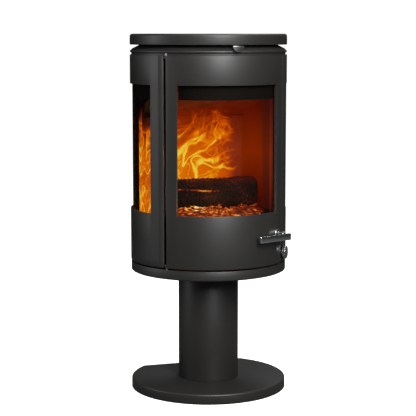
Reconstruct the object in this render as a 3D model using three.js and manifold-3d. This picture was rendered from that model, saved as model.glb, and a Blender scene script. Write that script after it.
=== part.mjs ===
// A wood burning stove: a round cast iron firebox with three curved windows, standing on a pedestal.
// Millimetres, +Z up. The origin is on the floor, on the axis of the pedestal, and the door faces -Y.
// A bearing is an angle in degrees from the front (-Y), growing towards +X.
import * as THREE from "three";
import { mergeVertices } from "three/addons/utils/BufferGeometryUtils.js";
import Module from "manifold-3d";

const wasm = await Module();
wasm.setup();

// ---------------------------------------------------------------- driving dimensions

const FIT = 0.3; // gap between pieces that touch
const ROUND_FIT = 0.8; // the same between round walls whose facets don't line up
const RUNNING = 0.3; // radial clearance of a shaft in its bore
const ARC_STEP = 7.5; // degrees of arc that one facet covers
const MARGIN = 20; // how far a cutting tool reaches past what it cuts
const LAP = 1; // how far a cut or a join reaches past a face

// The outline from above: a circle with a flat back.
const BODY_RADIUS = 232;
const BACK_FLAT = 168; // axis to the flat back
const WALL = 7; // cast iron wall of the tray
const SKIN = 5.5; // cast iron skin of the panels and the door

// Heights of the stack, from the floor up.
const FLOOR_PLATE_HEIGHT = 30;
const COLUMN_HEIGHT = 330;
const TRAY_HEIGHT = 28;
const SHADOW_GAP = 5; // dark groove above the tray
const PANEL_HEIGHT = 606;
const COLLAR_HEIGHT = 29; // from the panels to the top plate
const TOP_PLATE_HEIGHT = 32;

// Tray.
const TRAY_INSET = 1; // the tray's edge inside the body
const TRAY_FILLET = 4;
const LIP_THICKNESS = 5;
const LIP_CLEARANCE = 3; // degrees between the front frame and the lip

// Pedestal.
const COLUMN_RADIUS = 90;
const COLUMN_WALL = 4;
const FLANGE_THICKNESS = 8;
const FLANGE_HOLE_RADIUS = 45;
const FLOOR_PLATE_TOP = 8;
const FLOOR_PLATE_RIM = 9;
const FLOOR_PLATE_FILLET = 5;
const FLOOR_HUB_RADIUS = 32;
const RIB_WIDTH = 8;
const BOLT_CIRCLE = 66; // radius
const BOLT_RADIUS = 5;
const BOLT_HEAD_RADIUS = 9;
const BOLT_HEAD_HEIGHT = 7;
const BOLT_COUNT = 4;
const BOLT_THREAD = 4; // that shows beyond the flange

// Door and windows.
const DOOR_HALF_ANGLE = 48.8;
const DOOR_RIM_DEPTH = 18; // how far the door's edge turns inwards
const DOOR_RIM_THICKNESS = 4;
const WINDOW_HALF_ANGLE = 40.35;
const WINDOW_BOTTOM = 153; // above the panels' lower edge
const WINDOW_HEIGHT = 369;
const SIDE_WINDOW_FRONT = 63.2; // bearings
const SIDE_WINDOW_BACK = 118;
const PANEL_FRONT = 51.6; // where a side panel starts, at its inner edge
const PANEL_CHAMFER = 3.05; // degrees over which its front edge slopes
const PANEL_BACK = 134;
const GASKET = 1;
const GLASS = 4;
const GLASS_OVERLAP = 8; // how far the glass reaches behind its frame
const CLIP_SIZE = 18;
const CLIP_THICKNESS = 3;
const CLIP_FOOT = 8; // beyond the edge of the glass
const STRIP_DROP = 41; // how far the air wash strip hangs below the window's top
const STRIP_RISE = 12;
const STRIP_THICKNESS = 2;
const STRIP_GAP = 5; // between strip and glass

// Frame behind the door, and the rope that seals the door to it.
const FRAME_INSET = 23; // its outer face inside the body
const FRAME_RADIUS = BODY_RADIUS - FRAME_INSET;
const FRAME_THICKNESS = 6;
const FRAME_OPENING_ANGLE = 43.5;
const FRAME_EDGE_ANGLE = 50;
const FRAME_RAIL = 6; // of the frame, above and below the hearth plate
const ASH_MOUTH_BOTTOM = 26; // above the panels' lower edge
const ROPE = 4.4;
const ROPE_WIDTH = 9;

// Door hinge.
const HINGE_INSET = 7; // its axis inside the body
const HINGE_RADIUS = BODY_RADIUS - HINGE_INSET;
const HINGE_BEARING = -49.3;
const HINGE_PIN_RADIUS = 4;
const HINGE_LUG_RADIUS = 7;
const HINGE_LUG_HEIGHT = 10;
const HINGE_PIN_GRIP = 9; // length of pin held by the tray or the collar
const HINGE_PIN_SHORT = 2; // the pin ends this far inside the lug
const HINGE_BOSS_RADIUS = 8;

// Door handle: a shaft through the door, and a flat bar that follows the door's curve.
const HANDLE_BEARING = 40; // of the shaft
const HANDLE_HEIGHT = 91; // above the panels' lower edge
const HANDLE_SHAFT_RADIUS = 6;
const HUB_RADIUS = 14;
const HUB_DEPTH = 8;
const HUB_RECESS_RADIUS = 10.5;
const HUB_RECESS_DEPTH = 4;
const BAR_BEARING = 22; // the bar is square to this bearing
const BAR_STAND_OFF = 16; // from the door to the bar's back
const BAR_THICKNESS = 10;
const BAR_HEIGHT = 19.4;
const BAR_LEFT = -18; // its ends, along the bar
const BAR_RIGHT = 100;
const BAR_DROP = 8.5; // centre line of the bar below the shaft
const BAR_END_RADIUS = 3;
const TONGUE_LENGTH = 15; // from the shaft's axis
const TONGUE_WIDTH = 11;
const TONGUE_THICKNESS = 5;
const TONGUE_GAP = 2; // behind the strike
const TONGUE_ANGLE = -45; // degrees from level, when the bar is level
const STRIKE_THICKNESS = 3;
const STRIKE_WIDTH = 14;
const STRIKE_HEIGHT = 40;

// Air control knob, in a slot in the right side panel.
const KNOB_BEARING = 54;
const KNOB_RADIUS = 19;
const KNOB_THICKNESS = 9.5;
const KNOB_STAND_OFF = 1.5; // from the panel to the knob's back
const KNOB_HEIGHT = 27; // above the panels' lower edge, at its lowest
const KNOB_TRAVEL = 36;
const KNOB_EDGE = 2.5;
const STEM_RADIUS = 4;
const NOTCH_MARGIN = 3; // round the stem
const VALVE_GAP = 2; // from the panel's inner face to the valve plate
const VALVE_THICKNESS = 3;
const VALVE_ANGLE = 7;
const VALVE_HEIGHT = 52;
const VALVE_LIFT = 10; // above the panels' lower edge

// Air wash control under the top plate.
const TAB_BEARING = 3;
const TAB_WIDTH = 34;
const TAB_HEIGHT = 17;
const TAB_THICKNESS = 10;
const TAB_STAND_OFF = 2; // from the body to the tab's back
const TAB_CLEARANCE = 2; // below the top plate
const TAB_SWING = 12; // degrees either way
const ARM_WIDTH = 12;
const ARM_THICKNESS = 3;
const SLIDE_INSET = 38; // its outer edge inside the body
const SLIDE_OUTER_RADIUS = BODY_RADIUS - SLIDE_INSET;
const SLIDE_WIDTH = 18;
const SLIDE_HALF_ANGLE = 30;
const SLIDE_CLEARANCE = 1; // under the collar
const SLOT_LAP = 6; // the slot's edge inside the slide's

// Collar and top plate.
const COLLAR_WALL_INSET = 4.5; // the collar's wall stands this far inside the body
const COLLAR_THICKNESS = 6;
const COLLAR_LIP_BOTTOM = 5;
const COLLAR_LIP_HEIGHT = 9;
const COLLAR_LIP_SLOPE = 2; // the lip's upper edge inside its widest part
const COLLAR_INSET = 0.6; // the lip's edge inside the body
const CONE_FOOT_INSET = 7;
const CONE_FOOT_HEIGHT = 17.5;
const CONE_TOP_INSET = 28; // inside the body
const CONE_TOP_RADIUS = BODY_RADIUS - CONE_TOP_INSET;
const CONE_TOP_GAP = 0.5; // under the top plate's rim
const TOP_PLATE_WALL = 7;
const TOP_PLATE_CEILING = 6;
const TOP_PLATE_FILLET = 8;
const TOP_FOOT_RADIUS = 9;
const TOP_FOOT_CIRCLE = 165;

// Flue.
const FLUE_RADIUS = 74;
const FLUE_WALL = 4;
const FLUE_LENGTH = 45; // outside the flat back
const FLUE_DROP = 88; // its axis below the panels' upper edge
const FLUE_FLANGE_WIDTH = 9;
const FLUE_FLANGE_THICKNESS = 5;
const BLANK_LAP = 8; // of the blanking plate, round the unused top outlet
const BLANK_THICKNESS = 5;

// Firebox.
const HEARTH_DROP = 15; // hearth plate's top below the windows' lower edge
const HEARTH_THICKNESS = 10;
const GRATE_RADIUS = 85;
const GRATE_SEAT = 8;
const GRATE_CLEARANCE = 1;
const GRATE_BORDER = 4; // solid rim round the slots
const GRATE_SLOT_WIDTH = 9;
const GRATE_SLOT_PITCH = 20;
const LINER_GAP = 2; // behind the bricks
const LINER_THICKNESS = 25;
const LINER_HALF_WIDTH = 112;
const CORNER_LINER_LENGTH = 62;
const CORNER_LINER_TURN = 48; // degrees
const BAFFLE_THICKNESS = 22;
const BAFFLE_FRONT = -70; // its front edge, along Y
const BAFFLE_REAR_DROP = 106; // underside at the back, below the windows' upper edge
const BAFFLE_FRONT_DROP = 24;
const BAFFLE_HALF_WIDTH = 168;
const SHELF_THICKNESS = 4;
const SHELF_HOLE_RADIUS = 30;
const SHELF_HOLE_Y = 110;
const PAN_WIDTH = 180;
const PAN_LENGTH = 214;
const PAN_HEIGHT = 62;
const PAN_WALL = 2;
const PAN_FRONT = -150; // its front wall, along Y
const PAN_GRIP_WIDTH = 60;
const PAN_GRIP_LENGTH = 18;
const PAN_GRIP_THICKNESS = 4;

// Fuel.
const EMBER_RADIUS = 168;
const EMBER_TOP_RADIUS = 134.4;
const EMBER_HEIGHT = 15;
const EMBER_GAP = 6; // to the back brick
const LOG_SIDES = 16;
const LOG_SQUARENESS = 3; // exponent of the section: 2 is round
const LOGS = [
  // from the back; gap is to what lies behind it
  { name: "log_rear", radius: 43, length: 214, x: -26, gap: 25.5 },
  { name: "log_front", radius: 45, length: 326, x: -22, gap: 3 },
];

// ---------------------------------------------------------------- places worked out from them

const COLUMN_Z = FLOOR_PLATE_HEIGHT;
const TRAY_Z = COLUMN_Z + COLUMN_HEIGHT;
const TRAY_TOP = TRAY_Z + TRAY_HEIGHT;
const PANEL_Z = TRAY_TOP + SHADOW_GAP;
const PANEL_TOP = PANEL_Z + PANEL_HEIGHT;
const COLLAR_Z = PANEL_TOP;
const TOP_PLATE_Z = COLLAR_Z + COLLAR_HEIGHT;
const TOP_Z = TOP_PLATE_Z + TOP_PLATE_HEIGHT;
const WINDOW_Z = PANEL_Z + WINDOW_BOTTOM;
const WINDOW_TOP = WINDOW_Z + WINDOW_HEIGHT;
const HEARTH_Z = WINDOW_Z - HEARTH_DROP;
const HANDLE_Z = PANEL_Z + HANDLE_HEIGHT;
const KNOB_Z = PANEL_Z + KNOB_HEIGHT;
const FLUE_Z = PANEL_TOP - FLUE_DROP;
const FRAME_INNER = FRAME_RADIUS - FRAME_THICKNESS;
const SKIN_INNER = BODY_RADIUS - SKIN;
const RIM_INNER = BODY_RADIUS - DOOR_RIM_DEPTH;
const GLASS_OUTER = SKIN_INNER - ROUND_FIT - GASKET - FIT;
const GLASS_INNER = GLASS_OUTER - GLASS;
const STRIP_OUTER = GLASS_INNER - STRIP_GAP;
const CLIP_OUTER = GLASS_INNER - FIT;
const CONE_TOP_HEIGHT = COLLAR_HEIGHT - CONE_TOP_GAP;
const HEARTH_BOTTOM = HEARTH_Z - HEARTH_THICKNESS;
const ASH_MOUTH_Z = PANEL_Z + ASH_MOUTH_BOTTOM;
const BAFFLE_BACK_Z = WINDOW_TOP - BAFFLE_REAR_DROP;
const PIN_HOLE_RADIUS = HINGE_PIN_RADIUS + RUNNING;
const SHAFT_BORE_RADIUS = HANDLE_SHAFT_RADIUS + RUNNING;

// ---------------------------------------------------------------- helpers

const rad = THREE.MathUtils.degToRad;
const deg = THREE.MathUtils.radToDeg;
const object = new THREE.Group();

// The point at a distance from the stove's axis, on a bearing.
const polar = (radius, bearing) => [radius * Math.sin(rad(bearing)), -radius * Math.cos(rad(bearing))];

// The angle on a circle of some radius that a length covers.
const spanAngle = (length, radius) => deg(length / radius);

const facets = (angle) => Math.max(2, Math.ceil(Math.abs(angle) / ARC_STEP));

// A closed three.js geometry as a manifold-3d solid, turned right side out.
function solid(geometry) {
  const shape = geometry.index ? geometry.toNonIndexed() : geometry.clone();
  shape.deleteAttribute("normal");
  shape.deleteAttribute("uv");
  const merged = mergeVertices(shape, 1e-4);
  const triVerts = new Uint32Array(merged.index.array);
  const build = () =>
    new wasm.Manifold(
      new wasm.Mesh({ numProp: 3, vertProperties: merged.attributes.position.array, triVerts }),
    );
  const made = build();
  if (made.volume() > 0) return made;
  for (let i = 0; i < triVerts.length; i += 3) {
    [triVerts[i], triVerts[i + 1]] = [triVerts[i + 1], triVerts[i]];
  }
  return build();
}

// A solid as a three.js geometry.
function geometryOf(made) {
  const mesh = made.getMesh();
  const positions = new Float32Array(mesh.numVert * 3);
  for (let i = 0; i < mesh.numVert; i++) {
    positions.set(mesh.vertProperties.subarray(i * mesh.numProp, i * mesh.numProp + 3), i * 3);
  }
  const geometry = new THREE.BufferGeometry();
  geometry.setAttribute("position", new THREE.BufferAttribute(positions, 3));
  geometry.setIndex(new THREE.BufferAttribute(new Uint32Array(mesh.triVerts), 1));
  geometry.computeVertexNormals();
  return geometry;
}

function add(name, made, material) {
  const mesh = new THREE.Mesh(geometryOf(made), material);
  mesh.name = name;
  object.add(mesh);
  return made;
}

function block(x0, x1, y0, y1, z0, z1) {
  const geometry = new THREE.BoxGeometry(x1 - x0, y1 - y0, z1 - z0);
  geometry.translate((x0 + x1) / 2, (y0 + y1) / 2, (z0 + z1) / 2);
  return solid(geometry);
}

function extrude(shape, z0, z1, curveSegments) {
  const geometry = new THREE.ExtrudeGeometry(shape, { depth: z1 - z0, bevelEnabled: false, curveSegments });
  geometry.translate(0, 0, z0);
  return solid(geometry);
}

// A piece of a round wall: between two radii, two bearings and two heights.
function wallPiece(r0, r1, from, to, z0, z1) {
  const shape = new THREE.Shape();
  shape.absarc(0, 0, r1, rad(from - 90), rad(to - 90), false);
  shape.absarc(0, 0, r0, rad(to - 90), rad(from - 90), true);
  return extrude(shape, z0, z1, facets(to - from));
}

// A frame in a round wall: the wall piece less an opening that is smaller by a border on every side.
function wallFrame(r0, r1, from, to, z0, z1, borderAngle, border) {
  const whole = wallPiece(r0, r1, from, to, z0, z1);
  const a0 = from + borderAngle;
  const a1 = to - borderAngle;
  const opening = wallPiece(r0 - LAP, r1 + LAP, a0, a1, z0 + border, z1 - border);
  return whole.subtract(opening);
}

// A solid of revolution about the stove's axis. The outline is [radius, height] pairs from axis to axis.
function revolve(outline, segments = 360 / ARC_STEP) {
  const points = outline.map(([r, z]) => new THREE.Vector2(r, z));
  const geometry = new THREE.LatheGeometry(points, segments);
  geometry.rotateX(Math.PI / 2);
  return solid(geometry);
}

// What lies in front of a plane across the back.
const inFrontOf = (back) =>
  block(-BODY_RADIUS - MARGIN, BODY_RADIUS + MARGIN, -BODY_RADIUS - MARGIN, back, -MARGIN, TOP_Z + MARGIN);

// The body's outline as an upright prism, drawn in by an inset.
const prism = (inset, z0, z1) =>
  revolve([[0, z0], [BODY_RADIUS - inset, z0], [BODY_RADIUS - inset, z1], [0, z1]]).intersect(
    inFrontOf(BACK_FLAT - inset),
  );

// An upright cylinder.
function post(radius, x, y, z0, z1, segments = 20) {
  const geometry = new THREE.CylinderGeometry(radius, radius, z1 - z0, segments);
  geometry.rotateX(Math.PI / 2);
  geometry.translate(x, y, (z0 + z1) / 2);
  return solid(geometry);
}

// A cylinder that points straight out from the axis, between two distances from it.
function spoke(radius, bearing, z, from, to, segments = 20) {
  const geometry = new THREE.CylinderGeometry(radius, radius, to - from, segments);
  geometry.rotateZ(Math.PI + rad(bearing));
  const [x, y] = polar((from + to) / 2, bearing);
  geometry.translate(x, y, z);
  return solid(geometry);
}

// A geometry drawn facing the viewer in X and Z, with its depth along -Y, turned to a bearing.
function facing(geometry, bearing, z) {
  geometry.rotateZ(rad(bearing));
  geometry.translate(0, 0, z);
  return solid(geometry);
}

// A plate with an outline in X and Z, between two distances from the axis, at a bearing and a height.
function plate(shape, bearing, z, from, to, curveSegments = 6, tilt = 0) {
  const geometry = new THREE.ExtrudeGeometry(shape, { depth: to - from, bevelEnabled: false, curveSegments });
  geometry.rotateZ(rad(-tilt));
  geometry.rotateX(Math.PI / 2);
  geometry.translate(0, -from, 0);
  return facing(geometry, bearing, z);
}

function roundedRectangle(x0, x1, z0, z1, r) {
  const shape = new THREE.Shape();
  shape.moveTo(x0 + r, z0);
  shape.lineTo(x1 - r, z0);
  shape.absarc(x1 - r, z0 + r, r, -Math.PI / 2, 0, false);
  shape.lineTo(x1, z1 - r);
  shape.absarc(x1 - r, z1 - r, r, 0, Math.PI / 2, false);
  shape.lineTo(x0 + r, z1);
  shape.absarc(x0 + r, z1 - r, r, Math.PI / 2, Math.PI, false);
  shape.lineTo(x0, z0 + r);
  shape.absarc(x0 + r, z0 + r, r, Math.PI, 1.5 * Math.PI, false);
  return shape;
}

// The rounded corner of an outline: points on a quarter circle from angle a0 to a1, in degrees.
function corner(r, z, radius, a0, a1, steps = 2) {
  return Array.from({ length: steps + 1 }, (_, i) => {
    const a = rad(a0 + ((a1 - a0) * i) / steps);
    return [r + radius * Math.cos(a), z + radius * Math.sin(a)];
  });
}

function hexBolt(x, y, headZ, headUp, length) {
  const reach = headUp ? -1 : 1;
  const headEnd = headZ - reach * BOLT_HEAD_HEIGHT;
  const tip = headZ + reach * length;
  const span = (a, b) => [Math.min(a, b), Math.max(a, b)];
  const head = post(BOLT_HEAD_RADIUS, x, y, ...span(headZ, headEnd), 6);
  const shank = post(BOLT_RADIUS, x, y, ...span(headZ - reach, tip), 10);
  return head.add(shank);
}

// ---------------------------------------------------------------- materials

const finish = (color, roughness, metalness, more = {}) =>
  new THREE.MeshStandardMaterial({ color, roughness, metalness, ...more });
const castIron = finish(0x3b3b38, 0.62, 0.35);
const blackSteel = finish(0x1d1d1c, 0.7, 0.4);
const polishedSteel = finish(0xb9bbbd, 0.2, 1);
const zincSteel = finish(0x8c8f92, 0.4, 0.9);
const glass = finish(0x2a1d14, 0.05, 0, { transparent: true, opacity: 0.35 });
const rope = finish(0x2b2a28, 0.95, 0);
const vermiculite = finish(0xb08a55, 0.95, 0);
const charredWood = finish(0x14100d, 0.95, 0);
const embers = finish(0xb43a10, 0.9, 0, { emissive: 0xff4a0a });

// ---------------------------------------------------------------- pedestal

const boltSpots = Array.from({ length: BOLT_COUNT }, (_, i) =>
  polar(BOLT_CIRCLE, 45 + (i * 360) / BOLT_COUNT),
);
const drill = (made, z0, z1, radius = BOLT_RADIUS + RUNNING) =>
  boltSpots.reduce((rest, [x, y]) => rest.subtract(post(radius, x, y, z0, z1, 10)), made);

// Floor plate: a casting with a rim all round, hollow below. Its hub and four ribs stand on the floor.
function floorPlate() {
  const top = FLOOR_PLATE_HEIGHT;
  const round = FLOOR_PLATE_FILLET;
  const fillet = corner(BODY_RADIUS - round, top - round, round, 0, 90);
  const outside = revolve([[0, 0], [BODY_RADIUS, 0], ...fillet, [0, top]]).intersect(inFrontOf(BACK_FLAT));
  const hollow = prism(FLOOR_PLATE_RIM, -MARGIN, top - FLOOR_PLATE_TOP);
  const shell = outside.subtract(hollow);
  const reach = BODY_RADIUS - FLOOR_PLATE_RIM / 2;
  const backReach = BACK_FLAT - FLOOR_PLATE_RIM / 2;
  const half = RIB_WIDTH / 2;
  const ribTop = top - FLOOR_PLATE_TOP / 2;
  const hub = post(FLOOR_HUB_RADIUS, 0, 0, 0, ribTop);
  const across = block(-reach, reach, -half, half, 0, ribTop);
  const ribs = across.add(block(-half, half, -reach, backReach, 0, ribTop));
  return drill(shell.add(hub).add(ribs), top - FLOOR_PLATE_TOP - LAP, top + LAP);
}
add("floor_plate", floorPlate(), castIron);

// Column: a tube with a flange welded into each end.
function column() {
  const z0 = COLUMN_Z + FIT;
  const z1 = TRAY_Z - FIT;
  const inner = COLUMN_RADIUS - COLUMN_WALL;
  const hollow = post(inner, 0, 0, z0 + FLANGE_THICKNESS, z1 - FLANGE_THICKNESS, 44);
  const tube = post(COLUMN_RADIUS, 0, 0, z0, z1, 44).subtract(hollow);
  const bored = tube.subtract(post(FLANGE_HOLE_RADIUS, 0, 0, z0 - LAP, z1 + LAP));
  return drill(bored, z0 - LAP, z1 + LAP);
}
add("pedestal_column", column(), castIron);

// Bolts: one set up through the floor plate, one set down through the tray.
const boltLength = FLOOR_PLATE_TOP + FLANGE_THICKNESS + 2 * FIT + BOLT_THREAD;
boltSpots.forEach(([x, y], i) => {
  const underPlate = COLUMN_Z - FLOOR_PLATE_TOP - FIT;
  add(`base_bolt_${i + 1}`, hexBolt(x, y, underPlate, false, boltLength), zincSteel);
  const onTray = TRAY_Z + WALL + FIT;
  add(`column_bolt_${i + 1}`, hexBolt(x, y, onTray, true, boltLength), zincSteel);
});

// ---------------------------------------------------------------- tray, collar and top plate

const hinge = polar(HINGE_RADIUS, HINGE_BEARING);

// Tray: the bottom of the body, with an inner lip that locates the panels and a boss for the hinge pin.
function tray() {
  const radius = BODY_RADIUS - TRAY_INSET;
  const round = corner(radius - TRAY_FILLET, TRAY_Z + TRAY_FILLET, TRAY_FILLET, -90, 0);
  const outside = revolve([[0, TRAY_Z], ...round, [radius, TRAY_TOP], [0, TRAY_TOP]]).intersect(
    inFrontOf(BACK_FLAT - TRAY_INSET),
  );
  const hollow = prism(TRAY_INSET + WALL, TRAY_Z + WALL, TRAY_TOP + MARGIN);
  const lipInset = SKIN + FIT;
  const lip = prism(lipInset, TRAY_TOP - WALL, PANEL_Z + WALL).subtract(
    prism(lipInset + LIP_THICKNESS, TRAY_TOP - MARGIN, PANEL_Z + MARGIN),
  );
  const lipFront = wallPiece(
    RIM_INNER - MARGIN,
    BODY_RADIUS + MARGIN,
    -FRAME_EDGE_ANGLE - LIP_CLEARANCE,
    FRAME_EDGE_ANGLE + LIP_CLEARANCE,
    TRAY_TOP,
    PANEL_Z + MARGIN,
  );
  const boss = post(HINGE_BOSS_RADIUS, ...hinge, TRAY_Z + WALL - LAP, TRAY_TOP).intersect(outside);
  const body = outside.subtract(hollow).add(lip.subtract(lipFront)).add(boss);
  const airHole = post(FLANGE_HOLE_RADIUS, 0, 0, TRAY_Z - LAP, TRAY_Z + WALL + LAP);
  const pinHole = post(PIN_HOLE_RADIUS, ...hinge, TRAY_TOP - HINGE_PIN_GRIP - FIT, TRAY_TOP + LAP, 12);
  return drill(body.subtract(airHole), TRAY_Z - LAP, TRAY_Z + WALL + LAP).subtract(pinHole);
}
add("body_tray", tray(), castIron);

// The collar's shallow cone: the height of its underside at a distance from the axis.
const coneFoot = BODY_RADIUS - CONE_FOOT_INSET;
const coneSlope = (CONE_TOP_HEIGHT - CONE_FOOT_HEIGHT) / (coneFoot - CONE_TOP_RADIUS);
const coneUnderside = (radius) =>
  COLLAR_Z + CONE_FOOT_HEIGHT - COLLAR_THICKNESS + coneSlope * Math.max(0, coneFoot - radius);

// The arm of the air wash control passes through the cone, just under the top plate.
const armZ = TOP_PLATE_Z - TAB_CLEARANCE - ARM_THICKNESS;

// Collar: a rolled lip, then the cone that rises under the top plate, and a flat middle.
function collar() {
  const z = COLLAR_Z + FIT;
  const wall = BODY_RADIUS - COLLAR_WALL_INSET;
  const edge = BODY_RADIUS - COLLAR_INSET;
  const lipBottom = COLLAR_Z + COLLAR_LIP_BOTTOM;
  const lipTop = lipBottom + COLLAR_LIP_HEIGHT;
  const top = COLLAR_Z + CONE_TOP_HEIGHT;
  const back = BACK_FLAT - COLLAR_INSET;
  const outside = revolve([
    [0, z],
    [wall, z],
    [wall, lipBottom],
    [edge, (lipBottom + lipTop) / 2],
    [edge - COLLAR_LIP_SLOPE, lipTop],
    [coneFoot, COLLAR_Z + CONE_FOOT_HEIGHT],
    [CONE_TOP_RADIUS, top],
    [0, top],
  ]).intersect(inFrontOf(back));
  const t = COLLAR_THICKNESS;
  const hollow = revolve([
    [0, z - MARGIN],
    [wall - t, z - MARGIN],
    [wall - t, coneUnderside(coneFoot)],
    [CONE_TOP_RADIUS, coneUnderside(CONE_TOP_RADIUS)],
    [0, coneUnderside(CONE_TOP_RADIUS)],
  ]).intersect(inFrontOf(back - t));
  const boss = post(HINGE_BOSS_RADIUS, ...hinge, z, top).intersect(outside);
  const pinHole = post(PIN_HOLE_RADIUS, ...hinge, z - LAP, z + HINGE_PIN_GRIP + FIT, 12);
  const outlet = post(FLUE_RADIUS, 0, 0, z, TOP_Z, 32);
  const half = TAB_SWING + spanAngle(ARM_WIDTH, SLIDE_OUTER_RADIUS);
  const armSlot = wallPiece(
    SLIDE_OUTER_RADIUS - SLOT_LAP,
    coneFoot - SLOT_LAP,
    TAB_BEARING - half,
    TAB_BEARING + half,
    armZ - TAB_CLEARANCE,
    TOP_Z,
  );
  return outside.subtract(hollow).add(boss).subtract(pinHole).subtract(outlet).subtract(armSlot);
}
add("collar", collar(), castIron);

// Top plate: a heavy lid with a deep rounded rim, hollow below, on four feet.
function topPlate() {
  const fillet = corner(BODY_RADIUS - TOP_PLATE_FILLET, TOP_Z - TOP_PLATE_FILLET, TOP_PLATE_FILLET, 0, 90, 3);
  const outside = revolve([[0, TOP_PLATE_Z], [BODY_RADIUS, TOP_PLATE_Z], ...fillet, [0, TOP_Z]]).intersect(
    inFrontOf(BACK_FLAT),
  );
  const hollow = prism(TOP_PLATE_WALL, TOP_PLATE_Z - MARGIN, TOP_Z - TOP_PLATE_CEILING);
  const footZ = COLLAR_Z + CONE_TOP_HEIGHT + FIT;
  const feet = [45, 135, 225, 315].map((bearing) =>
    post(TOP_FOOT_RADIUS, ...polar(TOP_FOOT_CIRCLE, bearing), footZ, TOP_Z - TOP_PLATE_CEILING / 2, 10),
  );
  return feet.reduce((rest, foot) => rest.add(foot), outside.subtract(hollow));
}
add("top_plate", topPlate(), castIron);

// A plate that closes the unused outlet in the collar's top, because the flue leaves at the back.
const blankZ = COLLAR_Z + CONE_TOP_HEIGHT + FIT;
add(
  "flue_blanking_plate",
  post(FLUE_RADIUS + BLANK_LAP, 0, 0, blankZ, blankZ + BLANK_THICKNESS, 32),
  castIron,
);

// ---------------------------------------------------------------- side panels, back and frame

// A window opening through the body's wall, between two bearings.
const windowHole = (from, to) => wallPiece(RIM_INNER, BODY_RADIUS + MARGIN, from, to, WINDOW_Z, WINDOW_TOP);

// The shell that the side and back panels are cut from.
const shell = prism(0, PANEL_Z, PANEL_TOP).subtract(prism(SKIN, PANEL_Z - LAP, PANEL_TOP + LAP));

// The right-hand side panel, from the chamfer beside the door to the joint near the back.
function sidePanel() {
  const reach = 2 * BODY_RADIUS;
  const wedge = new THREE.Shape();
  wedge.moveTo(0, 0);
  wedge.lineTo(...polar(SKIN_INNER, PANEL_FRONT));
  wedge.lineTo(...polar(BODY_RADIUS, PANEL_FRONT + PANEL_CHAMFER));
  wedge.lineTo(...polar(BODY_RADIUS + MARGIN, PANEL_FRONT + 2 * PANEL_CHAMFER));
  wedge.lineTo(reach, 0);
  wedge.lineTo(...polar(2 * reach, PANEL_BACK));
  return shell.intersect(extrude(wedge, PANEL_Z - LAP, PANEL_TOP + LAP, 1));
}
const mirrored = (made) => made.mirror([1, 0, 0]);
const windowed = sidePanel().subtract(windowHole(SIDE_WINDOW_FRONT, SIDE_WINDOW_BACK));
const slotHalf = STEM_RADIUS + NOTCH_MARGIN;
const knobSlot = wallPiece(
  RIM_INNER,
  BODY_RADIUS + MARGIN,
  PANEL_FRONT - PANEL_CHAMFER,
  KNOB_BEARING + spanAngle(slotHalf, BODY_RADIUS),
  KNOB_Z - slotHalf,
  KNOB_Z + KNOB_TRAVEL + slotHalf,
);
add("side_panel_left", mirrored(windowed), castIron);
add("side_panel_right", windowed.subtract(knobSlot), castIron);

// Back panel: the flat back and its two rounded corners, with the flue's hole.
function backPanel() {
  const [x, y] = polar(4 * BODY_RADIUS, PANEL_BACK);
  const gap = FIT / Math.sin(rad(PANEL_BACK));
  const wedge = new THREE.Shape();
  wedge.moveTo(0, gap);
  wedge.lineTo(x, y + gap);
  wedge.lineTo(-x, y + gap);
  const flueHole = spoke(FLUE_RADIUS + FIT, 180, FLUE_Z, BACK_FLAT - MARGIN, BACK_FLAT + MARGIN, 32);
  return shell.intersect(extrude(wedge, PANEL_Z - LAP, PANEL_TOP + LAP, 1)).subtract(flueHole);
}
add("back_panel", backPanel(), castIron);

// Flue spigot: a tube through the back panel with a flange outside it.
function flueSpigot() {
  const inside = BACK_FLAT - SKIN;
  const outside = BACK_FLAT + FLUE_LENGTH;
  const flange = BACK_FLAT + FIT;
  return spoke(FLUE_RADIUS, 180, FLUE_Z, inside, outside, 32)
    .add(spoke(FLUE_RADIUS + FLUE_FLANGE_WIDTH, 180, FLUE_Z, flange, flange + FLUE_FLANGE_THICKNESS, 32))
    .subtract(spoke(FLUE_RADIUS - FLUE_WALL, 180, FLUE_Z, inside - LAP, outside + LAP, 32));
}
add("flue_spigot", flueSpigot(), castIron);

// Front frame: the face that the door closes on, with the firebox mouth above and the ash mouth below.
function frontFrame() {
  const z0 = TRAY_Z + WALL + FIT;
  const z1 = coneUnderside(FRAME_RADIUS) - ROUND_FIT - FIT;
  const face = wallPiece(FRAME_INNER, FRAME_RADIUS, -FRAME_EDGE_ANGLE, FRAME_EDGE_ANGLE, z0, z1);
  const mouth = (from, to) =>
    wallPiece(FRAME_INNER - LAP, FRAME_RADIUS + LAP, -FRAME_OPENING_ANGLE, FRAME_OPENING_ANGLE, from, to);
  return face
    .subtract(mouth(HEARTH_Z + FRAME_RAIL, WINDOW_TOP + STRIP_RISE))
    .subtract(mouth(ASH_MOUTH_Z, HEARTH_BOTTOM - FRAME_RAIL));
}
add("front_frame", frontFrame(), blackSteel);

// ---------------------------------------------------------------- glazing

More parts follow.
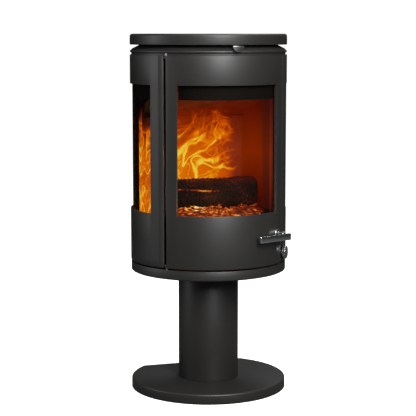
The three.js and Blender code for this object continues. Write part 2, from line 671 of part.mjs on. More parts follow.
// Gasket, pane and air wash strip of a window between two bearings.
function glazing(suffix, from, to, place = (made) => made) {
  const over = spanAngle(GLASS_OVERLAP, GLASS_OUTER);
  const z0 = WINDOW_Z - GLASS_OVERLAP;
  const z1 = WINDOW_TOP + GLASS_OVERLAP;
  const a0 = from - over;
  const a1 = to + over;
  const gasketInner = GLASS_OUTER + FIT;
  const seal = wallFrame(gasketInner, gasketInner + GASKET, a0, a1, z0, z1, over, GLASS_OVERLAP);
  add(`gasket_${suffix}`, place(seal), rope);
  add(`glass_${suffix}`, place(wallPiece(GLASS_INNER, GLASS_OUTER, a0, a1, z0, z1)), glass);
  const stripZ = WINDOW_TOP - STRIP_DROP;
  const stripTop = WINDOW_TOP + STRIP_RISE;
  const strip = wallPiece(STRIP_OUTER - STRIP_THICKNESS, STRIP_OUTER, from, to, stripZ, stripTop);
  add(`air_wash_strip_${suffix}`, place(strip), blackSteel);
}
glazing("front", -WINDOW_HALF_ANGLE, WINDOW_HALF_ANGLE);
glazing("right", SIDE_WINDOW_FRONT, SIDE_WINDOW_BACK);
glazing("left", SIDE_WINDOW_FRONT, SIDE_WINDOW_BACK, mirrored);

// ---------------------------------------------------------------- door

// Door casting: a curved skin whose four edges turn inwards, with the window and the hinge lugs.
function doorFrame() {
  const z0 = PANEL_Z;
  const z1 = PANEL_TOP;
  const a = DOOR_HALF_ANGLE;
  const skin = wallPiece(SKIN_INNER, BODY_RADIUS, -a, a, z0, z1);
  const rimAngle = spanAngle(DOOR_RIM_THICKNESS, BODY_RADIUS);
  const rim = wallFrame(RIM_INNER, SKIN_INNER + LAP, -a, a, z0, z1, rimAngle, DOOR_RIM_THICKNESS);
  const lug = (from, to) => post(HINGE_LUG_RADIUS, ...hinge, from, to, 16);
  const lugs = lug(z0, z0 + HINGE_LUG_HEIGHT).add(lug(z1 - HINGE_LUG_HEIGHT, z1));
  const bore = post(PIN_HOLE_RADIUS, ...hinge, z0 - LAP, z1 + LAP, 12);
  const shaftBore = spoke(SHAFT_BORE_RADIUS, HANDLE_BEARING, HANDLE_Z, RIM_INNER, BODY_RADIUS + MARGIN);
  return skin
    .add(rim)
    .add(lugs)
    .subtract(windowHole(-WINDOW_HALF_ANGLE, WINDOW_HALF_ANGLE))
    .subtract(bore)
    .subtract(shaftBore);
}
add("door_frame", doorFrame(), castIron);

// Rope round the inside of the door's rim, which closes on the front frame.
add(
  "door_rope",
  wallFrame(
    FRAME_RADIUS + FIT,
    RIM_INNER - FIT,
    -DOOR_HALF_ANGLE,
    DOOR_HALF_ANGLE,
    PANEL_Z + FIT,
    PANEL_TOP - FIT,
    spanAngle(ROPE_WIDTH, FRAME_RADIUS),
    ROPE_WIDTH,
  ),
  rope,
);

// Clips that hold the door's glass, one at each corner: a foot on the door and a finger behind the pane.
[-1, 1].forEach((side) => {
  ["bottom", "top"].forEach((level) => {
    const half = spanAngle(CLIP_SIZE / 2, CLIP_OUTER);
    const middle = side * (WINDOW_HALF_ANGLE - 2 * half);
    const edge = level === "top" ? WINDOW_TOP : WINDOW_Z;
    const way = level === "top" ? 1 : -1;
    const heights = (a, b) => [edge + way * a, edge + way * b].sort((m, n) => m - n);
    const finger = wallPiece(
      CLIP_OUTER - CLIP_THICKNESS,
      CLIP_OUTER,
      middle - half,
      middle + half,
      ...heights(CLIP_THICKNESS, GLASS_OVERLAP + CLIP_FOOT),
    );
    const foot = wallPiece(
      CLIP_OUTER - LAP,
      SKIN_INNER - FIT,
      middle - half / 2,
      middle + half / 2,
      ...heights(GLASS_OVERLAP + FIT, GLASS_OVERLAP + CLIP_FOOT),
    );
    add(`glass_clip_${level}_${side < 0 ? "left" : "right"}`, finger.add(foot), zincSteel);
  });
});

// Hinge pins: one up from the tray, one down from the collar.
const pinTip = HINGE_LUG_HEIGHT - HINGE_PIN_SHORT;
add(
  "hinge_pin_lower",
  post(HINGE_PIN_RADIUS, ...hinge, TRAY_TOP - HINGE_PIN_GRIP, PANEL_Z + pinTip, 12),
  zincSteel,
);
add(
  "hinge_pin_upper",
  post(HINGE_PIN_RADIUS, ...hinge, PANEL_TOP - pinTip, COLLAR_Z + HINGE_PIN_GRIP, 12),
  zincSteel,
);

// ---------------------------------------------------------------- door handle and latch

const hubFace = BODY_RADIUS + HUB_DEPTH;
const barBack = BODY_RADIUS + BAR_STAND_OFF;
const barFront = barBack + BAR_THICKNESS;

// Hub: a ring seated on the door's curve, with a sunk face round the shaft.
const doorCurve = wallPiece(0, BODY_RADIUS + FIT, 0, 360, PANEL_Z, PANEL_TOP);
const hubPiece = (radius, from, to) => spoke(radius, HANDLE_BEARING, HANDLE_Z, from, to);
const hubStart = SKIN_INNER - HUB_DEPTH;
add(
  "handle_hub",
  hubPiece(HUB_RADIUS, hubStart, hubFace)
    .subtract(doorCurve)
    .subtract(hubPiece(SHAFT_BORE_RADIUS, hubStart, hubFace + LAP))
    .subtract(hubPiece(HUB_RECESS_RADIUS, hubFace - HUB_RECESS_DEPTH, hubFace + LAP)),
  polishedSteel,
);

// Bar: flat, level, and set square to a bearing nearer the door's middle than the shaft is.
const barShape = roundedRectangle(BAR_LEFT, BAR_RIGHT, -BAR_HEIGHT / 2, BAR_HEIGHT / 2, BAR_END_RADIUS);
add("handle_bar", plate(barShape, BAR_BEARING, HANDLE_Z - BAR_DROP, barBack, barFront, 2), polishedSteel);

// Shaft: through hub and door, cut off on the slant where it meets the back of the bar.
const tongueBack = FRAME_INNER - FIT - STRIKE_THICKNESS - TONGUE_GAP - TONGUE_THICKNESS;
const behindBar = new THREE.BoxGeometry(2 * BODY_RADIUS, 2 * BODY_RADIUS, 2 * BODY_RADIUS);
behindBar.translate(0, BODY_RADIUS - barBack + FIT, 0);
const shaftStart = tongueBack + TONGUE_THICKNESS + FIT;
add(
  "handle_shaft",
  hubPiece(HANDLE_SHAFT_RADIUS, shaftStart, barFront + MARGIN).intersect(
    facing(behindBar, BAR_BEARING, HANDLE_Z),
  ),
  polishedSteel,
);

// Tongue: the cam on the shaft's inner end, which turns behind the strike to hold the door.
const tongueShape = new THREE.Shape();
tongueShape.absarc(0, 0, TONGUE_WIDTH / 2, Math.PI / 2, 1.5 * Math.PI, false);
tongueShape.lineTo(TONGUE_LENGTH, -TONGUE_WIDTH / 2);
tongueShape.lineTo(TONGUE_LENGTH, TONGUE_WIDTH / 2);
add(
  "latch_tongue",
  plate(tongueShape, HANDLE_BEARING, HANDLE_Z, tongueBack, tongueBack + TONGUE_THICKNESS, 6, -TONGUE_ANGLE),
  zincSteel,
);

// Strike: a wear plate on the inside of the front frame, beside the tongue.
add(
  "latch_strike",
  wallPiece(
    FRAME_INNER - FIT - STRIKE_THICKNESS,
    FRAME_INNER - FIT,
    FRAME_OPENING_ANGLE,
    FRAME_OPENING_ANGLE + spanAngle(STRIKE_WIDTH, FRAME_INNER),
    HANDLE_Z - STRIKE_HEIGHT / 2,
    HANDLE_Z + STRIKE_HEIGHT / 2,
  ),
  zincSteel,
);

// ---------------------------------------------------------------- air controls

// Combustion air: a round knob outside the panel, on a stem that carries the valve plate inside it.
const knobBack = BODY_RADIUS + KNOB_STAND_OFF;
const knobFace = knobBack + KNOB_THICKNESS;
function knob() {
  const outline = [
    [0, knobBack],
    [KNOB_RADIUS - KNOB_EDGE, knobBack],
    [KNOB_RADIUS, knobBack + KNOB_EDGE],
    [KNOB_RADIUS, knobFace - KNOB_EDGE],
    [KNOB_RADIUS - KNOB_EDGE, knobFace],
    [0, knobFace],
  ].map(([r, d]) => new THREE.Vector2(r, d));
  const geometry = new THREE.LatheGeometry(outline, 28);
  geometry.rotateX(Math.PI);
  return facing(geometry, KNOB_BEARING, KNOB_Z);
}
add("air_knob", knob(), polishedSteel);
const valveOuter = SKIN_INNER - VALVE_GAP;
const valveFrom = KNOB_BEARING - VALVE_ANGLE / 2;
const valveZ = PANEL_Z + VALVE_LIFT;
add("air_stem", spoke(STEM_RADIUS, KNOB_BEARING, KNOB_Z, valveOuter + FIT, knobBack - FIT, 12), zincSteel);
add(
  "air_valve_plate",
  wallPiece(
    valveOuter - VALVE_THICKNESS,
    valveOuter,
    valveFrom,
    valveFrom + VALVE_ANGLE,
    valveZ,
    valveZ + VALVE_HEIGHT,
  ),
  zincSteel,
);

// Air wash control: a half-round tab in front of the collar, on an arm that turns a curved slide.
const tabBack = BODY_RADIUS + TAB_STAND_OFF;
const tabTop = TOP_PLATE_Z - TAB_CLEARANCE;
const tabShape = new THREE.Shape();
tabShape.moveTo(-TAB_WIDTH / 2, tabTop);
tabShape.absellipse(0, tabTop, TAB_WIDTH / 2, TAB_HEIGHT, Math.PI, 2 * Math.PI, false, 0);
add("air_wash_tab", plate(tabShape, TAB_BEARING, 0, tabBack, tabBack + TAB_THICKNESS, 8), polishedSteel);

// The slide lies under the collar's flat top. Its arm steps up through the slot and out to the tab.
const armHalf = spanAngle(ARM_WIDTH / 2, SLIDE_OUTER_RADIUS);
const armPiece = (r0, r1, z0, z1) => wallPiece(r0, r1, TAB_BEARING - armHalf, TAB_BEARING + armHalf, z0, z1);
const slideTop = coneUnderside(CONE_TOP_RADIUS) - SLIDE_CLEARANCE;
const arm = armPiece(SLIDE_OUTER_RADIUS - ARM_THICKNESS, tabBack - FIT, armZ, armZ + ARM_THICKNESS);
const riser = armPiece(SLIDE_OUTER_RADIUS - ARM_THICKNESS, SLIDE_OUTER_RADIUS, slideTop - 1, armZ + 1);
const slide = wallPiece(
  SLIDE_OUTER_RADIUS - SLIDE_WIDTH,
  SLIDE_OUTER_RADIUS,
  TAB_BEARING - SLIDE_HALF_ANGLE,
  TAB_BEARING + SLIDE_HALF_ANGLE,
  slideTop - ARM_THICKNESS,
  slideTop,
);
add("air_wash_slide", arm.add(riser).add(slide), zincSteel);

// ---------------------------------------------------------------- firebox

const floorOutline = (z0, z1) =>
  revolve([[0, z0], [FRAME_INNER - FIT, z0], [FRAME_INNER - FIT, z1], [0, z1]]).intersect(
    inFrontOf(BACK_FLAT - SKIN - FIT),
  );

// Hearth plate: the firebox floor, with a stepped seat for the grate.
add(
  "hearth_plate",
  floorOutline(HEARTH_BOTTOM, HEARTH_Z)
    .subtract(post(GRATE_RADIUS - GRATE_SEAT, 0, 0, HEARTH_BOTTOM - LAP, HEARTH_Z + LAP, 32))
    .subtract(
      post(GRATE_RADIUS + GRATE_CLEARANCE, 0, 0, HEARTH_Z - HEARTH_THICKNESS / 2, HEARTH_Z + LAP, 32),
    ),
  blackSteel,
);

// Grate: a round plate with long slots.
function grate() {
  const z0 = HEARTH_Z - HEARTH_THICKNESS / 2 + FIT;
  const inner = GRATE_RADIUS - GRATE_SEAT - GRATE_BORDER;
  const rows = Math.floor((inner - GRATE_SLOT_WIDTH) / GRATE_SLOT_PITCH);
  let cut = post(GRATE_RADIUS, 0, 0, z0, HEARTH_Z, 32);
  for (let row = -rows; row <= rows; row++) {
    const x = row * GRATE_SLOT_PITCH;
    const half = Math.sqrt(inner ** 2 - (Math.abs(x) + GRATE_SLOT_WIDTH / 2) ** 2);
    const reach = GRATE_SLOT_WIDTH / 2;
    const slot = block(x - reach, x + reach, -half, half, z0 - LAP, HEARTH_Z + LAP);
    cut = cut.subtract(slot);
  }
  return cut;
}
add("grate", grate(), blackSteel);

// Ash shelf: the floor of the ash space, with a hole that lets the air from the column in.
const shelfZ = ASH_MOUTH_Z - SHELF_THICKNESS;
add(
  "ash_shelf",
  floorOutline(shelfZ, ASH_MOUTH_Z).subtract(
    post(SHELF_HOLE_RADIUS, 0, SHELF_HOLE_Y, shelfZ - LAP, ASH_MOUTH_Z + LAP),
  ),
  blackSteel,
);

// Ash pan: an open box with a grip at the front, which stands on the shelf.
function ashPan() {
  const z0 = ASH_MOUTH_Z + FIT;
  const z1 = z0 + PAN_HEIGHT;
  const x = PAN_WIDTH / 2;
  const back = PAN_FRONT + PAN_LENGTH;
  const box = block(-x, x, PAN_FRONT, back, z0, z1);
  const clear = x - PAN_WALL;
  const inside = block(-clear, clear, PAN_FRONT + PAN_WALL, back - PAN_WALL, z0 + PAN_WALL, z1 + LAP);
  const gripX = PAN_GRIP_WIDTH / 2;
  const gripZ = z1 - 2 * PAN_GRIP_THICKNESS;
  const gripFront = PAN_FRONT - PAN_GRIP_LENGTH;
  const grip = block(-gripX, gripX, gripFront, PAN_FRONT + LAP, gripZ, gripZ + PAN_GRIP_THICKNESS);
  return box.subtract(inside).add(grip);
}
add("ash_pan", ashPan(), zincSteel);

// Liner: one brick along the flat back and one turned across each corner.
const linerZ = HEARTH_Z + FIT;
const linerTop = BAFFLE_BACK_Z - FIT;
const linerBack = BACK_FLAT - SKIN - LINER_GAP;
const linerFront = linerBack - LINER_THICKNESS;
const backBrick = block(-LINER_HALF_WIDTH, LINER_HALF_WIDTH, linerFront, linerBack, linerZ, linerTop);
add("liner_back", backBrick, vermiculite);
const cornerGeometry = new THREE.BoxGeometry(CORNER_LINER_LENGTH, LINER_THICKNESS, linerTop - linerZ);
cornerGeometry.translate(CORNER_LINER_LENGTH / 2, LINER_THICKNESS / 2, (linerZ + linerTop) / 2);
cornerGeometry.rotateZ(rad(-CORNER_LINER_TURN));
cornerGeometry.translate(LINER_HALF_WIDTH + FIT, linerFront, 0);
const cornerBrick = solid(cornerGeometry)
  .subtract(block(0, LINER_HALF_WIDTH + FIT, 0, BODY_RADIUS, 0, TOP_Z))
  .intersect(prism(SKIN + LINER_GAP, 0, TOP_Z));
add("liner_right", cornerBrick, vermiculite);
add("liner_left", mirrored(cornerBrick), vermiculite);

// Smoke baffle: a slab that rises towards the front and leaves the smoke a way round its front edge.
function smokeBaffle() {
  const back = linerBack;
  const low = BAFFLE_BACK_Z;
  const high = WINDOW_TOP - BAFFLE_FRONT_DROP;
  const side = new THREE.Shape();
  side.moveTo(back, low);
  side.lineTo(back, low + BAFFLE_THICKNESS);
  side.lineTo(BAFFLE_FRONT, high + BAFFLE_THICKNESS);
  side.lineTo(BAFFLE_FRONT, high);
  const geometry = new THREE.ExtrudeGeometry(side, { depth: 2 * BAFFLE_HALF_WIDTH, bevelEnabled: false });
  geometry.translate(0, 0, -BAFFLE_HALF_WIDTH);
  geometry.rotateX(Math.PI / 2);
  geometry.rotateZ(Math.PI / 2);
  return solid(geometry).intersect(prism(SKIN + LINER_GAP, 0, TOP_Z));
}
add("smoke_baffle", smokeBaffle(), vermiculite);

// ---------------------------------------------------------------- fuel

// Ember bed: a low heap on the hearth.
add(
  "ember_bed",
  revolve(
    [
      [0, linerZ],
      [EMBER_RADIUS, linerZ],
      [EMBER_TOP_RADIUS, linerZ + EMBER_HEIGHT],
      [0, linerZ + EMBER_HEIGHT],
    ],
    36,
  ).intersect(inFrontOf(linerFront - EMBER_GAP)),
  embers,
);

// Logs: split lengths of squarish section, lying across the bed.
function log({ radius, length, x }, y) {
  const section = Array.from({ length: LOG_SIDES }, (_, i) => {
    const a = ((i + 0.5) * 2 * Math.PI) / LOG_SIDES;
    const round = (v) => Math.sign(v) * Math.abs(v) ** (2 / LOG_SQUARENESS);
    return new THREE.Vector2(radius * round(Math.cos(a)), radius * round(Math.sin(a)));
  });
  const settings = { depth: length, bevelEnabled: false };
  const geometry = new THREE.ExtrudeGeometry(new THREE.Shape(section), settings);
  geometry.translate(0, 0, -length / 2);
  geometry.rotateX(Math.PI / 2);
  geometry.rotateZ(Math.PI / 2);
  geometry.translate(x, y, linerZ + EMBER_HEIGHT + FIT + radius);
  return solid(geometry);
}
let behindLog = linerFront;
for (const one of LOGS) {
  const y = behindLog - one.gap - one.radius;
  add(one.name, log(one, y), charredWood);
  behindLog = y - one.radius;
}

export default object;
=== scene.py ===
# %% [markdown]
# # A round wood burning stove with a fire in it
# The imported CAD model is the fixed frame: it knows every size, joint and place. This script dresses
# it. Castings, glass, handle and fuel are remodelled finely around the same sizes, the fire is added,
# and every surface gets a material worked out from noise.

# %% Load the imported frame
import math
import random

import bmesh
import bpy
import numpy as np
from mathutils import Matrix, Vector


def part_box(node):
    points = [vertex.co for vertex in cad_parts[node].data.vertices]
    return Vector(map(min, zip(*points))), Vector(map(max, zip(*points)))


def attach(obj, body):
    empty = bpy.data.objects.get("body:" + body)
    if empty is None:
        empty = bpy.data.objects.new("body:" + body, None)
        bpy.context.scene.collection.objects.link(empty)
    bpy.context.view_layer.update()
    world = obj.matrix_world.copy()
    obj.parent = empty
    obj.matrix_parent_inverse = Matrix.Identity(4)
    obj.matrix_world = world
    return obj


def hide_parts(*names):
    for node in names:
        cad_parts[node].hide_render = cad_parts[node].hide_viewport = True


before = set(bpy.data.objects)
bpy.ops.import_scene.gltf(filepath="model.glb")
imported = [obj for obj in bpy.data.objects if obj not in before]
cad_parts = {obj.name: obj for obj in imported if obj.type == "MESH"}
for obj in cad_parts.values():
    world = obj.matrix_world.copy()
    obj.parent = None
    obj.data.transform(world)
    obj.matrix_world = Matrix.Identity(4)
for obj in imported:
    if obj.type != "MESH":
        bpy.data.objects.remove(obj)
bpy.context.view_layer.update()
ops = bpy.ops
MM = 0.001

# %% [markdown]
# ## Camera first
# The stove is seen from a little left of its door and from just above its top, through a long lens,
# which keeps the rims of the stack nearly parallel. The film holds only the object, so the camera
# needs no shift.

# %% Camera
scene = bpy.context.scene
LENS = 114.5
CAMERA_PLACE = (-1.1827, -3.751, 1.0634)
CAMERA_DOWN = 7.56  # degrees below level
CAMERA_TURN = -17.485  # degrees round the upright


def make_camera():
    camera = bpy.data.objects.new("camera", bpy.data.cameras.new("camera"))
    scene.collection.objects.link(camera)
    camera.data.lens = LENS
    camera.location = CAMERA_PLACE
    camera.rotation_euler = (math.radians(90 - CAMERA_DOWN), 0, math.radians(CAMERA_TURN))
    scene.camera = camera


make_camera()
print("camera at", CAMERA_PLACE)

# %% [markdown]
# ## Shader arithmetic
# A procedural material is mostly sums: noise plus noise, times a mask. Written as nodes they are hard
# to follow, so `Wire` wraps a node's output and each operator adds the Math node that does it.
# `Finish` holds the material that is being made, and its one `node` method adds any other node.


# %% Wire
class Wire:
    """A node's output that can be used in Python arithmetic."""

    def __init__(self, finish, socket):
        self.finish = finish
        self.socket = socket

    def math(self, operation, *others):
        sockets = dict(enumerate((self, *others)))
        return self.finish.node("Math", {"operation": operation}, sockets)

    def __rsub__(self, other):
        return self.finish.node("Math", {"operation": "SUBTRACT"}, {0: other, 1: self})

    def size(self):
        return self.math("ABSOLUTE")

    def ramp(self, low, high):
        """0 below low and 1 above high, with a smooth rise between (or a fall, if low is the higher)."""
        settings = {"interpolation_type": "SMOOTHSTEP"}
        flipped = low > high
        ends = {"From Min": min(low, high), "From Max": max(low, high)}
        rise = self.finish.node("MapRange", settings, {"Value": self, **ends})
        return 1 - rise if flipped else rise


OPERATORS = {
    "__add__": "ADD", "__radd__": "ADD", "__sub__": "SUBTRACT",
    "__mul__": "MULTIPLY", "__rmul__": "MULTIPLY", "__truediv__": "DIVIDE",
}
for method, operation in OPERATORS.items():
    setattr(Wire, method, lambda self, other, name=operation: self.math(name, other))
print("Wire does", ", ".join(sorted(set(OPERATORS.values()))))


# %% Finish
class Finish:
    """A material under construction, around one Principled shader."""

    def __init__(self, name, **constants):
        self.material = bpy.data.materials.new(name)
        self.material.use_nodes = True
        self.tree = self.material.node_tree
        self.shader = self.tree.nodes["Principled BSDF"]
        for key, value in constants.items():
            self.set(key.replace("_", " "), value)
        coordinates = self.tree.nodes.new("ShaderNodeTexCoord")
        self.place = Wire(self, coordinates.outputs["Object"])

    def feed(self, socket, value):
        if isinstance(value, Wire):
            self.tree.links.new(value.socket, socket)
        elif socket.type == "RGBA" and len(value) == 3:
            socket.default_value = (*value, 1)
        else:
            socket.default_value = value

    def set(self, key, value):
        self.feed(self.shader.inputs[key], value)

    def node(self, kind, settings, sockets, output=0):
        made = self.tree.nodes.new("ShaderNode" + kind)
        for key, value in settings.items():
            if key == "stops":
                self.fill_ramp(made.color_ramp, value)
            else:
                setattr(made, key, value)
        for key, value in sockets.items():
            self.feed(made.inputs[key], value)
        return Wire(self, made.outputs[output])

    def fill_ramp(self, ramp, stops):
        while len(ramp.elements) < len(stops):
            ramp.elements.new(1)
        for element, (position, colour) in zip(ramp.elements, stops):
            element.position = position
            element.color = (*colour, 1)

    def noise(self, scale, detail=3, place=None, roughness=0.55, distortion=0):
        sockets = {"Scale": scale, "Detail": detail, "Roughness": roughness, "Distortion": distortion}
        return self.node("TexNoise", {}, {"Vector": place or self.place, **sockets})

    def stretched(self, scale):
        return self.node("Mapping", {}, {"Vector": self.place, "Scale": scale})

    def flakes(self, scale):
        """A random grey for each cell of a Voronoi pattern."""
        cells = self.node("TexVoronoi", {"feature": "F1"}, {"Vector": self.place, "Scale": scale}, 1)
        return self.node("RGBToBW", {}, {"Color": cells})

    def mix(self, factor, first, second):
        return self.node("Mix", {"data_type": "RGBA"}, {0: factor, 6: first, 7: second}, output=2)

    def colours(self, value, stops):
        return self.node("ValToRGB", {"stops": stops}, {"Fac": value})

    def axes(self):
        parts = self.node("SeparateXYZ", {}, {"Vector": self.place})
        outputs = parts.socket.node.outputs
        return [Wire(self, outputs[i]) for i in range(3)]

    def bump(self, height, strength, distance):
        sockets = {"Height": height, "Strength": strength, "Distance": distance}
        self.set("Normal", self.node("Bump", {}, sockets))


print("Finish is ready")

# %% [markdown]
# ## Stove paint on cast iron
# The body is fine cast iron under a satin, slightly warm charcoal paint. Three things sell it: a skin
# of tiny pits (the casting sand under the paint), a sheen that changes slowly across a panel, and
# a faint cloudiness. The pits are bump only, because they are far below a millimetre deep.


# %% Stove paint
def stove_paint():
    paint = Finish("stove_paint", Specular_IOR_Level=0.5)
    clouds = paint.noise(7, detail=4)
    grain = paint.noise(1500, detail=2)
    pits = paint.noise(420, detail=3, roughness=0.6)
    tone = (clouds - 0.5) * 0.35 + (grain - 0.5) * 0.25
    paint.set("Base Color", paint.mix(tone + 0.5, (0.0105, 0.0101, 0.0094), (0.0200, 0.0193, 0.0178)))
    paint.set("Roughness", 0.47 + (clouds - 0.5) * 0.16 + (grain - 0.5) * 0.10)
    paint.bump(pits * 0.7 + grain * 0.3, 0.22, 0.0006)
    return paint.material


paint = stove_paint()
print("made", paint.name)

# %% [markdown]
# ## The other plain finishes
# Black steel sees the fire, so it is matt and sooty. The handle, knob and tab are polished, and a
# polished surface looks real through very fine scratches that break up its reflection. Zinc plate is
# dull, with soft cloudy crystals. The rope is braided, which a pair of crossed waves gives.


# %% Black, polished and zinc steel, rope
def black_steel():
    steel = Finish("sooty_black_steel", Specular_IOR_Level=0.12)
    soot = steel.noise(22, detail=5)
    grit = steel.noise(900, detail=2)
    steel.set("Base Color", steel.mix(soot, (0.0015, 0.0016, 0.0014), (0.006, 0.0055, 0.005)))
    steel.set("Roughness", 0.62 + soot * 0.3)
    steel.bump(soot * 0.4 + grit * 0.6, 0.25, 0.0005)
    return steel


def polished_steel():
    steel = Finish("polished_steel", Metallic=1.0)
    scratches = steel.noise(1.0, detail=3, place=steel.stretched((300, 300, 4200)))
    smears = steel.noise(60, detail=3)
    steel.set("Base Color", steel.mix(smears, (0.60, 0.60, 0.61), (0.72, 0.72, 0.73)))
    steel.set("Roughness", 0.12 + scratches * 0.10 + smears * 0.06)
    steel.bump(scratches, 0.08, 0.0002)
    return steel.material


def zinc_steel():
    steel = Finish("zinc_plated_steel", Metallic=1.0)
    grey = steel.flakes(160.0)
    stain = steel.noise(30, detail=4)
    steel.set("Base Color", steel.mix(grey, (0.30, 0.30, 0.31), (0.46, 0.46, 0.47)))
    steel.set("Roughness", 0.34 + stain * 0.25)
    steel.bump(stain, 0.1, 0.0004)
    return steel.material


def sealing_rope():
    rope = Finish("braided_glass_rope")
    strands = [
        rope.node(
            "TexWave",
            {"wave_type": "BANDS", "bands_direction": "DIAGONAL"},
            {"Vector": rope.stretched((1, 1, side)), "Scale": 110.0, "Distortion": 1.5},
            1,
        )
        for side in (1, -1)
    ]
    weave = strands[0].math("MAXIMUM", strands[1])
    rope.set("Base Color", rope.mix(weave, (0.008, 0.008, 0.008), (0.035, 0.034, 0.032)))
    rope.set("Roughness", 0.85 + weave * 0.1)
    rope.bump(weave, 0.6, 0.0012)
    return rope.material


polished, zinc, rope = polished_steel(), zinc_steel(), sealing_rope()
print("made", polished.name, zinc.name, rope.name)

# %% [markdown]
# ## Glass
# Ceramic stove glass is thin, clear and a little smoky. Full refraction costs a lot of light paths
# for a flat pane, so the pane is a mix: it lets light straight through, and a Fresnel factor adds the
# gloss where it is seen at a slant.


# %% Glass
def stove_glass():
    pane = Finish("clear_stove_glass", Base_Color=(0.01, 0.008, 0.006), Roughness=0.04)
    clear = pane.node("BsdfTransparent", {}, {"Color": (0.93, 0.90, 0.87)})
    gloss = pane.node("Fresnel", {}, {"IOR": 1.35})
    both = pane.node("MixShader", {}, {0: gloss * 0.45, 1: clear, 2: Wire(pane, pane.shader.outputs[0])})
    output = pane.tree.nodes["Material Output"]
    pane.tree.links.new(both.socket, output.inputs["Surface"])
    return pane.material


glass = stove_glass()
print("made", glass.name)

# %% [markdown]
# ## Modelling helpers
# Each piece starts as a primitive and is shaped in edit mode. Operators act on whatever is selected,
# so `edit` clears the selection first and `pick` selects by a test on each face, edge or vertex.


# %% Selecting and editing
def nothing_selected():
    if bpy.context.object and bpy.context.object.mode != "OBJECT":
        ops.object.mode_set(mode="OBJECT")
    ops.object.select_all(action="DESELECT")


def only(piece):
    nothing_selected()
    piece.select_set(True)
    bpy.context.view_layer.objects.active = piece


def edit(piece):
    only(piece)
    ops.object.mode_set(mode="EDIT")


def select_all():
    ops.mesh.select_all(action="SELECT")


def extrude(shift):
    ops.mesh.extrude_region_move(TRANSFORM_OT_translate={"value": shift})


def slice_off(place, normal):
    """Cuts away what lies past a plane, and closes the cut."""
    select_all()
    ops.mesh.bisect(plane_co=place, plane_no=normal, use_fill=True, clear_outer=True)


def weld():
    """Joins points that coincide and makes the faces look the same way."""
    select_all()
    ops.mesh.remove_doubles(threshold=1e-6)
    ops.mesh.normals_make_consistent(inside=False)


def middle(item):
    corners = [item] if isinstance(item, bmesh.types.BMVert) else item.verts
    return sum((v.co for v in corners), Vector()) / len(corners)


def pick(piece, kind, test):
    """Selects the VERT, EDGE or FACE items that pass a test, and returns how many do."""
    ops.mesh.select_mode(type=kind)
    ops.mesh.select_all(action="DESELECT")
    mesh = bmesh.from_edit_mesh(piece.data)
    items = {"VERT": mesh.verts, "EDGE": mesh.edges, "FACE": mesh.faces}[kind]
    found = [item for item in items if test(item)]
    for item in found:
        item.select_set(True)
    mesh.select_flush_mode()
    bmesh.update_edit_mesh(piece.data)
    return len(found)


print("selection helpers ready")

# %% [markdown]
# New shapes are primitives whose place goes straight into the mesh. Modifiers are applied at once, and
# `finish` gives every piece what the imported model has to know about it.


# %% Making and finishing
def named(name):
    piece = bpy.context.object
    piece.name = name
    piece.data.name = name
    return piece


def settle():
    """Puts a new primitive's place into its mesh, so that its object sits at the origin."""
    ops.object.transform_apply(location=True, rotation=True, scale=True)


def rod(name, radius, length, place, sides, **more):
    nothing_selected()
    ops.mesh.primitive_cylinder_add(vertices=sides, radius=radius, depth=length, location=place, **more)
    piece = named(name)
    settle()
    return piece


def cylinder(name, radius, low, high, sides, centre=(0, 0), **more):
    """An upright cylinder between two heights."""
    return rod(name, radius, high - low, (*centre, (low + high) / 2), sides, **more)


def cut_across(piece, axis, length, cuts):
    """Divides the long edges of a cylinder that lies along an axis (0, 1 or 2)."""
    pick(piece, "EDGE", lambda e: abs((e.verts[0].co - e.verts[1].co)[axis]) > length / 2)
    ops.mesh.subdivide_edgering(number_cuts=cuts, interpolation="LINEAR")


def modify(piece, kind, **settings):
    only(piece)
    modifier = piece.modifiers.new(kind.lower(), kind)
    for key, value in settings.items():
        setattr(modifier, key, value)
    ops.object.modifier_apply(modifier=modifier.name)


SHARP = 35  # degrees: edges that turn more than this stay crisp


def smooth(piece, angle=SHARP):
    only(piece)
    ops.object.shade_smooth_by_angle(angle=math.radians(angle))


def soften(piece, width, segments=2):
    """Rounds every sharp edge a little, and shades the piece smooth."""
    modify(piece, "BEVEL", width=width, segments=segments, limit_method="ANGLE",
           angle_limit=math.radians(SHARP), use_clamp_overlap=True)
    smooth(piece)


def thicken(piece, wall):
    modify(piece, "SOLIDIFY", thickness=wall, offset=-1, use_even_offset=True)


def finish(piece, material, body, slot, *nodes):
    """Gives a piece its material and its CAD body, and hides the CAD nodes it stands for. The slot is not
    used.
    """
    piece.data.materials.clear()
    piece.data.materials.append(material)
    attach(piece, body)
    if nodes:
        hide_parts(*nodes)
    print(f"{piece.name}: {len(piece.data.polygons)} faces, on {body}")


def painted(piece, *nodes, body="stove_body"):
    finish(piece, paint, body, "cast_iron_paint", *nodes)


print("edges that turn more than", SHARP, "degrees stay crisp")

# %% [markdown]
# ## Bearings
# The stove is round, so places on it are a distance from its axis and a bearing: 0 is the front of
# the door, and bearings grow towards the right-hand side.


# %% Bearings
def polar(radius, bearing, z=0.0):
    turn = math.radians(bearing)
    return Vector((radius * math.sin(turn), -radius * math.cos(turn), z))


def bearing_of(point):
    return math.degrees(math.atan2(point[0], -point[1]))


def radius_of(point):
    return math.hypot(point[0], point[1])


def heights(node):
    low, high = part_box(node)
    return low.z, high.z


def is_level(face):
    return abs(face.normal.z) > 0.9


def block_at(name, bearing, across, outwards, z):
    """A block square to a bearing, from and to: across it, outwards from the axis, and in height."""
    nothing_selected()
    centre = polar(sum(outwards) / 2, bearing) + polar(sum(across) / 2, bearing + 90)
    centre.z = sum(z) / 2
    ops.mesh.primitive_cube_add(size=1, location=centre, rotation=(0, 0, math.radians(bearing)))
    piece = named(name)
    piece.scale = [b - a for a, b in (across, outwards, z)]
    settle()
    return piece


